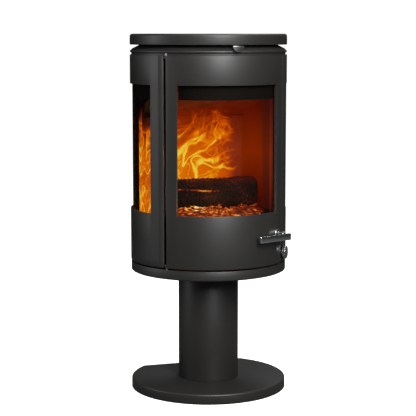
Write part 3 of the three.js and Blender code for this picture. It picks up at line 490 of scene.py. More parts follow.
BODY_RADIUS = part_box("top_plate")[1].x
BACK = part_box("top_plate")[1].y
print("body radius", round(BODY_RADIUS, 4), "flat back at", round(BACK, 4))

# %% [markdown]
# ## Round castings with a flat back
# Floor plate, tray and top plate are one shape at three heights: a thick disc cut straight across at
# the back. The cylinder is sliced, its rims are rounded with a bevel, and then a hollow is sunk into
# the face that nobody sees, as in the real casting, by an inset and an extrude.

# %% Discs
ROUND_STEPS = 192
TOP_PLATE_GAP = 0.3 * MM  # above the collar
TRAY_LIP_RISE = 12 * MM  # the lip that locates the body, left out here
CLOSE = 1e-5  # two heights nearer than this are the same


def round_slab(name, radius, back, low, high):
    piece = cylinder(name, radius, low, high, ROUND_STEPS)
    edit(piece)
    slice_off((0, back, 0), (0, 1, 0))
    return piece


def round_rim(piece, z, width, segments):
    pick(piece, "EDGE", lambda e: all(abs(v.co.z - z) < CLOSE for v in e.verts))
    ops.mesh.bevel(offset=width, segments=segments, affect="EDGES", clamp_overlap=True)


def sink(piece, z, rim, depth):
    """Hollows the flat face at height z, leaving a rim. A negative depth goes down."""
    pick(piece, "FACE", lambda f: abs(middle(f).z - z) < CLOSE and is_level(f) and len(f.verts) > 9)
    ops.mesh.inset(thickness=rim, use_even_offset=True)
    extrude((0, 0, depth))


def disc_casting(node, name, radius, back, ends, rims, hollow):
    """rims are (height, width, segments) and the hollow is (height, rim, depth)."""
    piece = round_slab(name, radius, back, *ends)
    for rim in rims:
        round_rim(piece, *rim)
    sink(piece, *hollow)
    smooth(piece)
    painted(piece, node)


low, high = heights("floor_plate")
rims = [(high, 5 * MM, 6), (low, 0.8 * MM, 2)]
disc_casting("floor_plate", "floor_casting", BODY_RADIUS, BACK, (low, high), rims, (low, 9 * MM, 20 * MM))

low, high = heights("top_plate")
low += TOP_PLATE_GAP
rims = [(high, 8 * MM, 7), (low, 2.2 * MM, 4)]
disc_casting("top_plate", "top_casting", BODY_RADIUS, BACK, (low, high), rims, (low, 7 * MM, 23 * MM))

low, high = heights("body_tray")
high -= TRAY_LIP_RISE
rims = [(low, 4 * MM, 5), (high, 1 * MM, 2)]
radius, back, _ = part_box("body_tray")[1]
disc_casting("body_tray", "tray_casting", radius, back, (low, high), rims, (high, 7 * MM, -21 * MM))

# %% [markdown]
# ## The column
# A plain tube with a thick end plate welded into each end. The two end faces are inset to the size
# of the hole, and bridging one hole's edge to the other turns the cylinder into a tube.


# %% Column
def bore_through(piece, ring, centre):
    """Opens an upright cylinder from end to end, leaving a ring at each end face."""
    pick(piece, "FACE", is_level)
    ops.mesh.inset(thickness=ring, use_individual=True)
    pick(piece, "FACE", lambda f: is_level(f) and (middle(f).xy - Vector(centre)).length < 1e-4)
    ops.mesh.bridge_edge_loops()


def column():
    low, high = heights("pedestal_column")
    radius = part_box("pedestal_column")[1].x
    piece = cylinder("column_tube", radius, low, high, 128)
    edit(piece)
    bore_through(piece, radius / 2, (0, 0))
    soften(piece, 0.8 * MM)
    painted(piece, "pedestal_column")


column()

# %% [markdown]
# ## The collar
# Under the top plate the body ends in a rolled lip, which catches the light as one thin bright line,
# and a shallow cone that rises inwards. It is turned like a lathe job: one vertex is extruded from
# point to point along the outline, and the outline is spun round the axis and sliced at the back.

# %% Turning and the collar
COLLAR_LIP_DROP = 18.5 * MM  # from the collar's top down to the middle of the lip
COLLAR_LIP_RADIUS = 4.2 * MM
COLLAR_LIP_SWEEP = range(-75, 76, 15)  # degrees
COLLAR_WALL_INSET = 4.5 * MM
COLLAR_WALL_TOP = 4.6 * MM  # below the middle of the lip
CONE_FOOT = (7 * MM, 10.5 * MM)  # in from the body, and down from the collar's top
CONE_TOP_RADIUS = 204 * MM


def outline(name, points):
    """A chain of edges through points, drawn by extruding one vertex."""
    nothing_selected()
    ops.mesh.primitive_plane_add(size=MM, location=(0, 0, 0))
    piece = named(name)
    ops.object.mode_set(mode="EDIT")
    select_all()
    ops.mesh.merge(type="CENTER")
    ops.mesh.select_mode(type="VERT")
    select_all()
    ops.transform.translate(value=points[0])
    for before, after in zip(points, points[1:]):
        extrude(Vector(after) - Vector(before))
    return piece


def turned(name, profile, steps=180):
    """A solid of revolution from (radius, height) pairs that start and end on the axis."""
    piece = outline(name, [(r, 0, z) for r, z in profile])
    select_all()
    ops.mesh.spin(steps=steps, angle=math.tau, center=(0, 0, 0), axis=(0, 0, 1))
    weld()
    return piece


def collar():
    low, high = heights("collar")
    lip_z = high - COLLAR_LIP_DROP
    wall = BODY_RADIUS - COLLAR_WALL_INSET
    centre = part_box("collar")[1].x - COLLAR_LIP_RADIUS
    lip = [
        (centre + COLLAR_LIP_RADIUS * math.cos(a), lip_z + COLLAR_LIP_RADIUS * math.sin(a))
        for a in np.radians(COLLAR_LIP_SWEEP)
    ]
    cone = [(BODY_RADIUS - CONE_FOOT[0], high - CONE_FOOT[1]), (CONE_TOP_RADIUS, high), (0, high)]
    profile = [(0, low), (wall, low), (wall, lip_z - COLLAR_WALL_TOP), *lip, *cone]
    piece = turned("collar_casting", profile)
    slice_off((0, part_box("collar")[1].y, 0), (0, 1, 0))
    smooth(piece, 32)
    painted(piece, "collar")


collar()

# %% [markdown]
# ## Curved walls with windows
# Door, side panels, glass and seals are all pieces of a round wall. An upright chain of edges is
# drawn at the wall's first bearing and spun to each next bearing in turn, so a row of faces ends
# exactly at every window edge and the faces inside a window can simply be deleted. Thickness comes
# last, from Solidify, once the normals point outwards.

# %% Walls
FACET = 2.0  # degrees


def spin_to(bearings):
    for here, there in zip(bearings, bearings[1:]):
        steps = max(1, round((there - here) / FACET))
        ops.mesh.spin(steps=steps, angle=math.radians(here - there), center=(0, 0, 0), axis=(0, 0, 1))


def facing_out(piece):
    """Turns the whole surface round if it faces the axis."""
    weld()
    mesh = bmesh.from_edit_mesh(piece.data)
    outwards = [Vector((*middle(f).xy, 0)).normalized() for f in mesh.faces]
    if sum(f.calc_area() * f.normal.dot(out) for f, out in zip(mesh.faces, outwards)) < 0:
        ops.mesh.flip_normals()


def cut_holes(piece, holes):
    """Deletes the faces whose middles lie in a hole: (first bearing, last bearing, low, high)."""

    def inside(face):
        point = middle(face)
        return any(a < bearing_of(point) < b and low < point.z < high for a, b, low, high in holes)

    if pick(piece, "FACE", inside):
        ops.mesh.delete(type="FACE")


def wall(name, radius, bearings, levels, holes=(), lead_in=()):
    """An outward-facing skin between the first and last bearing and the lowest and highest level.
    lead_in holds (radius, bearing) pairs for an edge that slopes before the round part starts."""
    start = [*lead_in, (radius, bearings[0])]
    piece = outline(name, [polar(*start[0], z) for z in levels])
    for before, after in zip(start, start[1:]):
        select_all()
        if before != start[0]:
            pick(piece, "VERT", lambda v: abs(bearing_of(v.co) - before[1]) < 1e-3)
        extrude(polar(*after) - polar(*before))
    if not lead_in:
        select_all()
    spin_to(bearings)
    cut_holes(piece, holes)
    facing_out(piece)
    return piece


print("walls are made of facets about", FACET, "degrees wide")

# %% [markdown]
# ## Side panels and back
# A side panel starts beside the door with a narrow slanted edge, which shows as a lighter stripe.
# The right one has a slot for the air control, open towards the door.

# %% Panels
PANEL_LOW, PANEL_HIGH = heights("side_panel_left")
WINDOW_LOW = heights("door_frame")[0] + 153 * MM
WINDOW_HIGH = WINDOW_LOW + 369 * MM
SIDE_WINDOW = (63.2, 118.0)  # bearings, as are the next three
PANEL_FRONT = 51.6
CHAMFER_END = 54.65
PANEL_BACK = 134.0
SKIN = 5.5 * MM
SLOT = (413 * MM, 463 * MM)  # heights
SLOT_END = 55.75  # bearing
FLUE_HOLE_RADIUS = 74.3 * MM
PANEL_GAP = 0.09  # degrees between a side panel and the back panel


def side_panel(side):
    right = side == "right"
    stops = [CHAMFER_END, SLOT_END, *SIDE_WINDOW, PANEL_BACK]
    levels = [PANEL_LOW, *SLOT, WINDOW_LOW, WINDOW_HIGH, PANEL_HIGH]
    holes = [(*SIDE_WINDOW, WINDOW_LOW, WINDOW_HIGH)]
    if right:
        holes.append((PANEL_FRONT - 1, SLOT_END, *SLOT))
    inner = BODY_RADIUS - SKIN
    piece = wall(f"side_casting_{side}", BODY_RADIUS, stops, levels, holes, [(inner, PANEL_FRONT)])
    if not right:
        select_all()
        ops.transform.mirror(constraint_axis=(True, False, False), center_override=(0, 0, 0))
        facing_out(piece)
    thicken(piece, SKIN)
    soften(piece, 0.7 * MM)
    painted(piece, f"side_panel_{side}")


def back_panel():
    """Two short round corners and a flat between them, with the flue's hole cut by a boolean."""
    corner = math.degrees(math.acos(BACK / BODY_RADIUS))
    first = PANEL_BACK + PANEL_GAP
    piece = outline("back_casting", [polar(BODY_RADIUS, first, z) for z in (PANEL_LOW, PANEL_HIGH)])
    select_all()
    spin_to([first, 180 - corner])
    width = 2 * BODY_RADIUS * math.sin(math.radians(corner))
    extrude((-width, 0, 0))
    spin_to([180 + corner, 360 - first])
    facing_out(piece)
    thicken(piece, SKIN)
    low, high = heights("flue_spigot")
    place = (0, BACK, (low + high) / 2)
    cutter = rod("flue_hole", FLUE_HOLE_RADIUS, 60 * MM, place, 96, rotation=(math.pi / 2, 0, 0))
    modify(piece, "BOOLEAN", operation="DIFFERENCE", object=cutter, solver="EXACT")
    bpy.data.objects.remove(cutter)
    soften(piece, 0.7 * MM)
    painted(piece, "back_panel")


for side in ("left", "right"):
    side_panel(side)
back_panel()

# %% [markdown]
# A narrow upright flange behind each panel's front edge closes the joint beside the door, so no
# firelight shows through it. The right-hand one stops above the air control.

# %% Flanges
FLANGE_BEARING = 52.5
FLANGE_REACH = (203 * MM, 226.2 * MM)  # from the axis
FLANGE_ACROSS = (-1 * MM, 1 * MM)
FLANGE_TRIM = 0.5 * MM
FLANGE_FOOT = {"left": FLANGE_TRIM, "right": 117 * MM}  # above the panel's foot

for side, foot in FLANGE_FOOT.items():
    bearing = FLANGE_BEARING if side == "right" else -FLANGE_BEARING
    ends = (PANEL_LOW + foot, PANEL_HIGH - FLANGE_TRIM)
    flange = block_at(f"panel_flange_{side}", bearing, FLANGE_ACROSS, FLANGE_REACH, ends)
    soften(flange, 0.4 * MM)
    painted(flange)

# %% [markdown]
# ## The door
# The door is a skin whose four edges turn inwards, as a cast door's rim does to hold its rope. The
# skin is spun first, then its outer boundary is extruded and scaled towards the axis.

# %% Door
DOOR_HALF = 48.8  # degrees
WINDOW_HALF = 40.35
RIM_DEPTH = 18 * MM
DOOR_WALL = 5 * MM
KNUCKLE_HEIGHT, KNUCKLE_RADIUS, KNUCKLE_WALL = 10 * MM, 6.6 * MM, 2.3 * MM


def door():
    stops = [-DOOR_HALF, -WINDOW_HALF, WINDOW_HALF, DOOR_HALF]
    levels = [PANEL_LOW, WINDOW_LOW, WINDOW_HIGH, PANEL_HIGH]
    hole = (-WINDOW_HALF, WINDOW_HALF, WINDOW_LOW, WINDOW_HIGH)
    piece = wall("door_casting", BODY_RADIUS, stops, levels, [hole])

    def outer_edge(edge):
        ends = [v.co for v in edge.verts]
        level = any(all(abs(p.z - z) < 1e-5 for p in ends) for z in (PANEL_LOW, PANEL_HIGH))
        upright = all(abs(abs(bearing_of(p)) - DOOR_HALF) < 1e-2 for p in ends)
        return edge.is_boundary and (level or upright)

    pick(piece, "EDGE", outer_edge)
    ops.mesh.extrude_edges_move()
    inwards = (BODY_RADIUS - RIM_DEPTH) / BODY_RADIUS
    ops.transform.resize(value=(inwards, inwards, 1), center_override=(0, 0, 0))
    select_all()
    ops.mesh.normals_make_consistent(inside=False)
    mesh = bmesh.from_edit_mesh(piece.data)
    skin_face = min(mesh.faces, key=lambda f: abs(bearing_of(middle(f))))
    if skin_face.normal.y > 0:
        ops.mesh.flip_normals()
    thicken(piece, DOOR_WALL)
    soften(piece, 1.1 * MM, segments=3)
    painted(piece, "door_frame", body="door")


def hinge_knuckles():
    """The two lugs of the door that the hinge pins stand in."""
    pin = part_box("hinge_pin_lower")
    place = (pin[0] + pin[1]) / 2
    for name, low in (("lower", PANEL_LOW), ("upper", PANEL_HIGH - KNUCKLE_HEIGHT)):
        ends = (low, low + KNUCKLE_HEIGHT)
        piece = cylinder(f"hinge_knuckle_{name}", KNUCKLE_RADIUS, *ends, 48, place.xy)
        edit(piece)
        bore_through(piece, KNUCKLE_WALL, place.xy)
        soften(piece, 0.5 * MM)
        painted(piece, body="door")


door()
hinge_knuckles()

# %% [markdown]
# ## Panes
# Each pane is a curved sheet 4 mm thick behind its window, with its edges hidden by the casting.

# %% Panes
GLASS_WALL = 4 * MM
GLASS_LAP = 2.4  # degrees behind the window's edge


def pane(suffix, first, last, body):
    low, high = heights(f"glass_{suffix}")
    radius = -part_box("glass_front")[0].y
    stops = [first - GLASS_LAP, last + GLASS_LAP]
    piece = wall(f"pane_{suffix}", radius, stops, [low, high])
    thicken(piece, GLASS_WALL)
    soften(piece, 0.4 * MM, segments=1)
    finish(piece, glass, body, "stove_glass", f"glass_{suffix}")


pane("front", -WINDOW_HALF, WINDOW_HALF, "door")
pane("right", *SIDE_WINDOW, "stove_body")
pane("left", -SIDE_WINDOW[1], -SIDE_WINDOW[0], "stove_body")

# %% [markdown]
# ## Handle, knob and tab
# These are the only bright pieces, so their edges matter most: a bevel that is too sharp gives no
# highlight. The handle is a flat bar that stands off the door on a round shaft, the shaft leaves the
# door through a ring with a sunk face, and the bar's back is flush with the shaft's slanted end.

# %% Bright pieces
HANDLE_BEARING = 40
BAR_BEARING = 22
BAR_SPAN = (-18 * MM, 100 * MM)
BAR_BACK = BODY_RADIUS + 16 * MM
BAR_FRONT = BAR_BACK + 10 * MM
KNOB_BEARING = 54
TAB_BEARING = 3


def rod_at(name, bearing, low, high, start, end, sides=64):
    """A cylinder that points straight out from the axis, between two heights and two distances."""
    place = polar((start + end) / 2, bearing, (low + high) / 2)
    turn = (math.pi / 2, 0, math.radians(bearing))
    return rod(name, (high - low) / 2, end - start, place, sides, rotation=turn)


def bright(piece, body, node, width, segments=2):
    soften(piece, width, segments)
    finish(piece, polished, body, "polished_steel", node)


def outer_face(piece, bearing):
    """Selects the flat face that looks straight out at a bearing."""
    out = polar(1, bearing)
    far = max((v.co.dot(out) for v in bmesh.from_edit_mesh(piece.data).verts))
    pick(piece, "FACE", lambda f: f.normal.dot(out) > 0.99 and middle(f).dot(out) > far - 1e-4)


def handle():
    low, high = heights("handle_bar")
    bar = block_at("handle_grip", BAR_BEARING, BAR_SPAN, (BAR_BACK, BAR_FRONT), (low, high))
    bright(bar, "door_handle", "handle_bar", 2.6 * MM, segments=5)

    low, high = heights("handle_shaft")
    start = radius_of(sum(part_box("latch_tongue"), Vector()) / 2) + 6 * MM
    shaft = rod_at("handle_spindle", HANDLE_BEARING, low, high, start, BAR_FRONT + 30 * MM)
    edit(shaft)
    slice_off(polar(BAR_BACK, BAR_BEARING), polar(1, BAR_BEARING))
    bright(shaft, "door_handle", "handle_shaft", 0.5 * MM)

    low, high = heights("handle_hub")
    hub = rod_at("handle_ring", HANDLE_BEARING, low, high, BODY_RADIUS - 0.4 * MM, BODY_RADIUS + 8 * MM)
    edit(hub)
    outer_face(hub, HANDLE_BEARING)
    ops.mesh.inset(thickness=3.3 * MM)
    extrude(polar(-4 * MM, HANDLE_BEARING))
    bright(hub, "door", "handle_hub", 0.9 * MM, segments=3)


def air_knob():
    low, high = heights("air_knob")
    back = BODY_RADIUS + 1.5 * MM
    piece = rod_at("air_knob_disc", KNOB_BEARING, low, high, back, back + 9.5 * MM, 96)
    edit(piece)
    outer_face(piece, KNOB_BEARING)
    ops.mesh.inset(thickness=5.5 * MM)
    ops.mesh.inset(thickness=1.2 * MM)
    ops.transform.translate(value=polar(-0.9 * MM, KNOB_BEARING))
    bright(piece, "air_control", "air_knob", 2.4 * MM, segments=5)


def air_wash_tab():
    """A half disc: a full one, sliced level at its widest."""
    low, high = heights("air_wash_tab")
    back = BODY_RADIUS + 2 * MM
    piece = rod_at("air_wash_thumb_tab", TAB_BEARING, low, 2 * high - low, back, back + 10 * MM, 72)
    edit(piece)
    slice_off((0, 0, high), (0, 0, 1))
    bright(piece, "air_wash_control", "air_wash_tab", 1.4 * MM, segments=4)


handle()
air_knob()
air_wash_tab()

# %% [markdown]
# ## Flue spigot
# A short tube with a flange against the back panel. Its section is a closed loop, spun round the
# flue's own axis.

# %% Flue
FLUE_WALL = 4 * MM
FLUE_RADIUS = 74 * MM
FLANGE_FACES = (BACK + 0.3 * MM, BACK + 5.3 * MM)


def flue_spigot():
    low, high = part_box("flue_spigot")
    z = (low.z + high.z) / 2
    flange = high.x
    inner = FLUE_RADIUS - FLUE_WALL
    near, far = FLANGE_FACES
    section = [
        (inner, low.y), (FLUE_RADIUS, low.y), (FLUE_RADIUS, near), (flange, near),
        (flange, far), (FLUE_RADIUS, far), (FLUE_RADIUS, high.y), (inner, high.y), (inner, low.y),
    ]
    piece = outline("flue_tube", [(r, y, z) for r, y in section])
    select_all()
    ops.mesh.spin(steps=96, angle=math.tau, center=(0, 0, z), axis=(0, 1, 0))
    weld()
    soften(piece, 0.8 * MM)
    painted(piece, "flue_spigot")


flue_spigot()

# %% [markdown]
# ## Where the firelight falls
# Everything inside the firebox takes its painted firelight from one rule of place: the fire leans to the
# left, it is hottest just above the logs, the right-hand and rear walls get a smooth orange painted
# firelight, and the left-hand corner gets painted shade. `painted_firelight` writes that rule once, for
# bricks, baffle, frame and the sheets of painted firelight in front of the walls.

# %% Painted firelight
FIRE_LOW = heights("ember_bed")[0]
FIRE_HIGH = heights("air_wash_strip_front")[0]
LOG_TOP = heights("log_front")[1]


def painted_firelight(coat, strength_mask=1.0):
    """The painted firelight on a wall of the firebox, and the painted shade of its left-hand corner, from
    its place alone.
    """
    x, y, z = coat.axes()
    rise = (z - FIRE_LOW) / (FIRE_HIGH - FIRE_LOW)
    billows = coat.noise(5.5, detail=3, distortion=0.6)
    level = rise + (billows - 0.5) * 0.25
    # Painted firelight on the left-hand and right-hand walls, brightest just above the logs.
    left_wall = coat.colours(level, [
        (0.0, (0.05, 0.002, 0.0)), (0.3, (0.26, 0.020, 0.001)), (0.55, (0.40, 0.042, 0.001)),
        (0.72, (0.26, 0.022, 0.001)), (0.88, (0.09, 0.005, 0.001)), (1.0, (0.05, 0.003, 0.001)),
    ])
    right_wall = coat.colours(level, [
        (0.0, (0.04, 0.001, 0.0)), (0.25, (0.14, 0.009, 0.0004)), (0.5, (0.24, 0.020, 0.0005)),
        (0.70, (0.17, 0.013, 0.0006)), (0.88, (0.10, 0.005, 0.0006)), (1.0, (0.07, 0.003, 0.0006)),
    ])
    across = (x + y * 0.3).ramp(-0.02, 0.14)
    colour = coat.mix(across, left_wall, right_wall)
    # Outside lit (the left-hand corner) and outside strength_mask, the colour is a painted shade of near
    # black.
    lit = (x + 0.02 * billows).ramp(-0.135, -0.085)
    return coat.mix(lit * strength_mask, (0.004, 0.001, 0.0), colour)


print("fire from height", round(FIRE_LOW, 3), "to", round(FIRE_HIGH, 3))

# %% [markdown]
# ## Firebrick
# Vermiculite board is pressed from flakes, so it is speckled, soft-edged and matt, and it has soot
# where the fire doesn't burn it clean.


# %% Vermiculite
def vermiculite():
    board = Finish("vermiculite_board", Emission_Strength=1.0)
    speck = board.flakes(260.0)
    soot = board.noise(9, detail=5)
    clean = board.mix(speck, (0.05, 0.03, 0.015), (0.10, 0.065, 0.035))
    board.set("Base Color", board.mix(soot.ramp(0.35, 0.6), clean, (0.012, 0.009, 0.007)))
    board.set("Roughness", 0.9 + speck * 0.1)
    # The emission is painted firelight, with painted shade in the left-hand corner, from painted_firelight.
    board.set("Emission Color", painted_firelight(board))
    board.bump(speck * 0.6 + soot * 0.4, 0.4, 0.0012)
    return board.material


# Bearings between which the painted firelight on the front frame fades in and out.
MOUTH_FIRELIGHT = (1.10, 1.03)  # tangents of the bearings where the glow ends and is full
MOUTH_EDGE = (0.90, 0.95)  # the same, where it starts


def frame_steel():
    """The front frame, with painted firelight beside the firebox mouth."""
    steel = black_steel()
    steel.material.name = "hot_frame_steel"
    x, y, z = steel.axes()
    slant = x / (0 - y)  # the tangent of the bearing
    near_mouth = slant.ramp(*MOUTH_FIRELIGHT) * slant.ramp(*MOUTH_EDGE)
    beside_fire = z.ramp(FIRE_LOW + 0.004, FIRE_LOW + 0.03) * z.ramp(FIRE_HIGH + 0.002, FIRE_HIGH - 0.004)
    # Painted firelight on the frame, only near the mouth and beside the fire.
    steel.set("Emission Color", painted_firelight(steel, near_mouth * beside_fire))
    steel.set("Emission Strength", 1.3)
    return steel.material


black = black_steel().material
brick, firelit_frame = vermiculite(), frame_steel()
print("made", black.name, brick.name, firelit_frame.name)

# %% [markdown]
# ## Hidden metal, seals and bricks
# These pieces have the right shape in the frame already, so they stay and only get their finish.

# %% Finish the frame's own pieces
FINISH_OF = {
    "zinc": (
        zinc, "base_bolt column_bolt glass_clip hinge_pin air_stem air_valve air_wash_slide latch ash_pan"
    ),
    "black": (black, "air_wash_strip hearth_plate grate ash_shelf"),
    "hot": (firelit_frame, "front_frame"),
    # The front frame's finish carries painted firelight.
    "rope": (rope, "gasket door_rope"),
    "brick": (brick, "liner smoke_baffle"),
    "paint": (paint, "flue_blanking"),
}

for finish_name, (material, starts) in FINISH_OF.items():
    dressed = [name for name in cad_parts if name.startswith(tuple(starts.split()))]
    for name in dressed:
        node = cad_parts[name]
        node.data.materials.clear()
        node.data.materials.append(material)
    print(finish_name, "on", len(dressed), "nodes")

# %% [markdown]
# ## Logs
# A burning log chars into blocks: cracks run round it every centimetre or two, others run along the
# grain, and the blocks between them crown a little. The cracks are real geometry. Each point of a
# finely divided, squarish cylinder looks up its two nearest block centres in a jittered grid, and
# the difference between the two distances says how near it is to a crack. The same number is kept as
# a `crack` attribute, which the material turns into glow deep inside the cracks.

# %% Charred blocks
LOG_SQUARENESS = 3.0
LOG_SIDES = 168
LOG_STEP = 2.6 * MM  # between rings
BLOCK_ALONG = 14 * MM
BLOCK_ROUND = 17 * MM
CRACK_DEPTH = 3.4 * MM
CROWN_HEIGHT = 1.2 * MM
END_ROUNDING = 12 * MM  # how far from its end a log starts to narrow
END_NARROWING = 5 * MM
END_RINGS = 11


def block_cells(along, around, girth, seed):
    """Distance to the nearest and second nearest block centre for points on an unrolled log."""
    draw = np.random.default_rng(seed)
    columns = max(6, round(girth / BLOCK_ROUND))
    u = along / BLOCK_ALONG
    v = around * columns
    rows = int(u.max()) + 4
    jitter = draw.uniform(-0.42, 0.42, (rows + 4, columns, 2))
    i0 = np.floor(u).astype(int)
    j0 = np.floor(v).astype(int)
    distances = []
    for di in (-1, 0, 1, 2):
        for dj in (-1, 0, 1, 2):
            i, j = i0 + di, j0 + dj
            shift = jitter[np.clip(i + 2, 0, rows + 3), j % columns]
            du = u - (i + shift[:, 0])
            dv = v - (j + shift[:, 1])
            distances.append(np.maximum(np.abs(du), np.abs(dv) * 0.8) * 0.6 + np.hypot(du, dv) * 0.4)
    nearest = np.sort(np.array(distances), axis=0)
    return nearest[0], nearest[1]


def soft_waves(points, size, draw, count=14):
    """Smooth random hills of about the given size, between -1 and 1."""
    total = np.zeros(len(points))
    for _ in range(count):
        direction = draw.normal(size=3)
        direction *= (2 * math.pi / size) / np.linalg.norm(direction) * draw.uniform(0.6, 1.5)
        total += np.sin(points @ direction + draw.uniform(0, math.tau))
    return total / math.sqrt(count)


def read_points(piece):
    points = np.empty(len(piece.data.vertices) * 3)
    piece.data.vertices.foreach_get("co", points)
    return points.reshape(-1, 3)


def write_points(piece, points):
    piece.data.vertices.foreach_set("co", points.astype(np.float32).ravel())
    piece.data.update()


def keep_value(piece, name, values):
    attribute = piece.data.attributes.new(name, "FLOAT", "POINT")
    attribute.data.foreach_set("value", values.astype(np.float32))


print(f"blocks of about {BLOCK_ALONG / MM:.0f} by {BLOCK_ROUND / MM:.0f} mm")

# %% [markdown]
# A log starts as a cylinder along X with fine rings. Then each of its points is moved: the section is
# squared, the skin sinks at the cracks and swells on the blocks, and the ends narrow and roughen.


# %% Log shape
def plain_log(name, node):
    """A cylinder along X in the node's box, cut into fine rings, with rounded ends."""
    low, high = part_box(node)
    length, radius = high.x - low.x, (high.z - low.z) / 2
    piece = rod(name, radius, length, (low + high) / 2, LOG_SIDES, rotation=(0, math.pi / 2, 0))
    edit(piece)
    cut_across(piece, 0, length, round(length / LOG_STEP))
    pick(piece, "FACE", lambda f: len(f.verts) > 9)
    for _ in range(END_RINGS):
        ops.mesh.inset(thickness=radius / (END_RINGS + 1.5), use_individual=True)
    nothing_selected()
    return piece, (low + high) / 2, length, radius


def charred_log(name, node, seed):
    piece, centre, length, radius = plain_log(name, node)
    draw = np.random.default_rng(seed)
    points = read_points(piece) - np.array(centre)
    out = np.hypot(points[:, 1], points[:, 2])
    turn = np.arctan2(points[:, 2], points[:, 1])
    power = LOG_SQUARENESS
    squarish = (np.abs(np.cos(turn)) ** power + np.abs(np.sin(turn)) ** power) ** (-1 / power)
    on_end = out < radius * 0.999
    near_end = np.clip((np.abs(points[:, 0]) - (length / 2 - END_ROUNDING)) / END_ROUNDING, 0, 1)
    first, second = block_cells(points[:, 0] + length / 2, (turn / math.tau) % 1.0, math.tau * radius, seed)
    crack = np.clip(1 - (second - first) / 0.34, 0, 1)
    crown = np.clip(1 - first * 1.1, 0, 1)
    bulge = soft_waves(points, 0.16, draw) * 1.2 * MM - 1.6 * MM
    sunk = CRACK_DEPTH * crack**1.6 - CROWN_HEIGHT * crown + 0.5 * MM * soft_waves(points, 0.009, draw)
    skin = out * squarish * 1.05
    side = (skin + bulge - sunk - near_end**2 * END_NARROWING) / np.maximum(out, 1e-9)
    scale = np.where(on_end, squarish * 0.86, side)
    points[:, 1] *= scale
    points[:, 2] *= scale
    rough_end = soft_waves(points, 0.012, draw) * 0.9 * MM - 2 * MM
    points[:, 0] += np.sign(points[:, 0]) * rough_end * on_end
    points[:, 0] -= np.clip(points[:, 0] / (length / 2), 0, 1) ** 3 * 7 * MM
    write_points(piece, points + np.array(centre))
    keep_value(piece, "crack", np.where(on_end, 0.25, crack))
    smooth(piece, 60)
    finish(piece, charcoal, "stove_body", "charred_wood", node)


print("logs will have", LOG_SIDES, "sides")

# %% [markdown]
# The char is nearly black with a grey bloom of ash on the crowns. The glow sits in the cracks, comes
# and goes along them, and is strongest where the flames lick the log. One long split glows along the
# front log's face, and its `line` is the height above that split.


# %% Charcoal
def charcoal_material():
    char = Finish("charred_wood", Specular_IOR_Level=0.15, Emission_Strength=1.0)
    crack = char.node("Attribute", {"attribute_name": "crack"}, {}, output=2)
    x, y, z = char.axes()
    grain = char.noise(1.0, detail=4, place=char.stretched((90, 420, 420)))
    patches = char.noise(26, detail=3, roughness=0.6)
    ash = (1 - crack) * patches.ramp(0.5, 0.7)
    char.set("Base Color", char.mix(ash * 0.5, (0.0022, 0.0018, 0.0016), (0.012, 0.010, 0.009)))
    char.set("Roughness", 0.78 + grain * 0.2)
    deep = crack.ramp(0.55, 1.0)
    warm_place = patches.ramp(0.40, 0.62)
    top = (z - (LOG_TOP - 0.022)).ramp(0, 0.02) * (x + 0.10).ramp(-0.01, 0.06)
    line = z - (0.6005 - x * 0.066) + (patches - 0.5) * 0.016
    split = line.size().ramp(0.0036, 0.0012) * y.ramp(-0.050, -0.058) * x.ramp(0.026, 0.016)
    heat = deep * (0.03 + warm_place * 0.34) + top * (0.10 + patches * 0.5) * 0.5
    heat += split * patches.ramp(0.40, 0.56) * 0.75
    glow = char.colours(heat, [
        (0.0, (0.004, 0.0006, 0.0004)), (0.25, (0.06, 0.003, 0.001)), (0.55, (0.30, 0.030, 0.001)),
        (0.8, (0.62, 0.13, 0.004)), (1.0, (0.9, 0.45, 0.05)),
    ])
    char.set("Emission Color", glow)
    char.bump(grain * 0.7 + patches * 0.3, 0.5, 0.0009)
    return char.material


charcoal = charcoal_material()
charred_log("front_split_log", "log_front", 3)
charred_log("rear_split_log", "log_rear", 8)

# %% [markdown]
# ## The ember bed
# Under the logs lies a heap of glowing crumbs. The heap itself is a turned disc whose top is pushed
# up and down by soft hills, and on it lie a few hundred coals. Three coals are modelled, each a dented
# icosphere, and copies are scattered over the bed with their own turn and size, then joined into one
# piece.

# %% Ember bed
HEAP_RINGS = 40


def ember_material():
    ember = Finish("glowing_embers", Specular_IOR_Level=0.1, Emission_Strength=1.0)
    x, y, z = ember.axes()
    crumbs = ember.noise(75, detail=3, roughness=0.65)
    beds = ember.noise(17, detail=3)
    hot = 1 - (x + 0.06).size() * 6.0
    heat = hot * 0.24 + (beds - 0.5) * 1.1 + (crumbs - 0.5) * 1.9 + 0.34
    glow = ember.colours(heat, [
        (0.0, (0.006, 0.0006, 0.0003)), (0.3, (0.07, 0.003, 0.0006)), (0.55, (0.32, 0.028, 0.001)),
        (0.72, (0.70, 0.18, 0.006)), (0.88, (0.95, 0.60, 0.12)), (1.0, (1.0, 0.93, 0.62)),
    ])
    ember.set("Base Color", ember.mix(crumbs, (0.003, 0.002, 0.002), (0.020, 0.017, 0.015)))
    ember.set("Roughness", 0.8 + crumbs * 0.2)
    ember.set("Emission Color", glow)
    ember.bump(crumbs, 0.6, 0.002)
    return ember.material


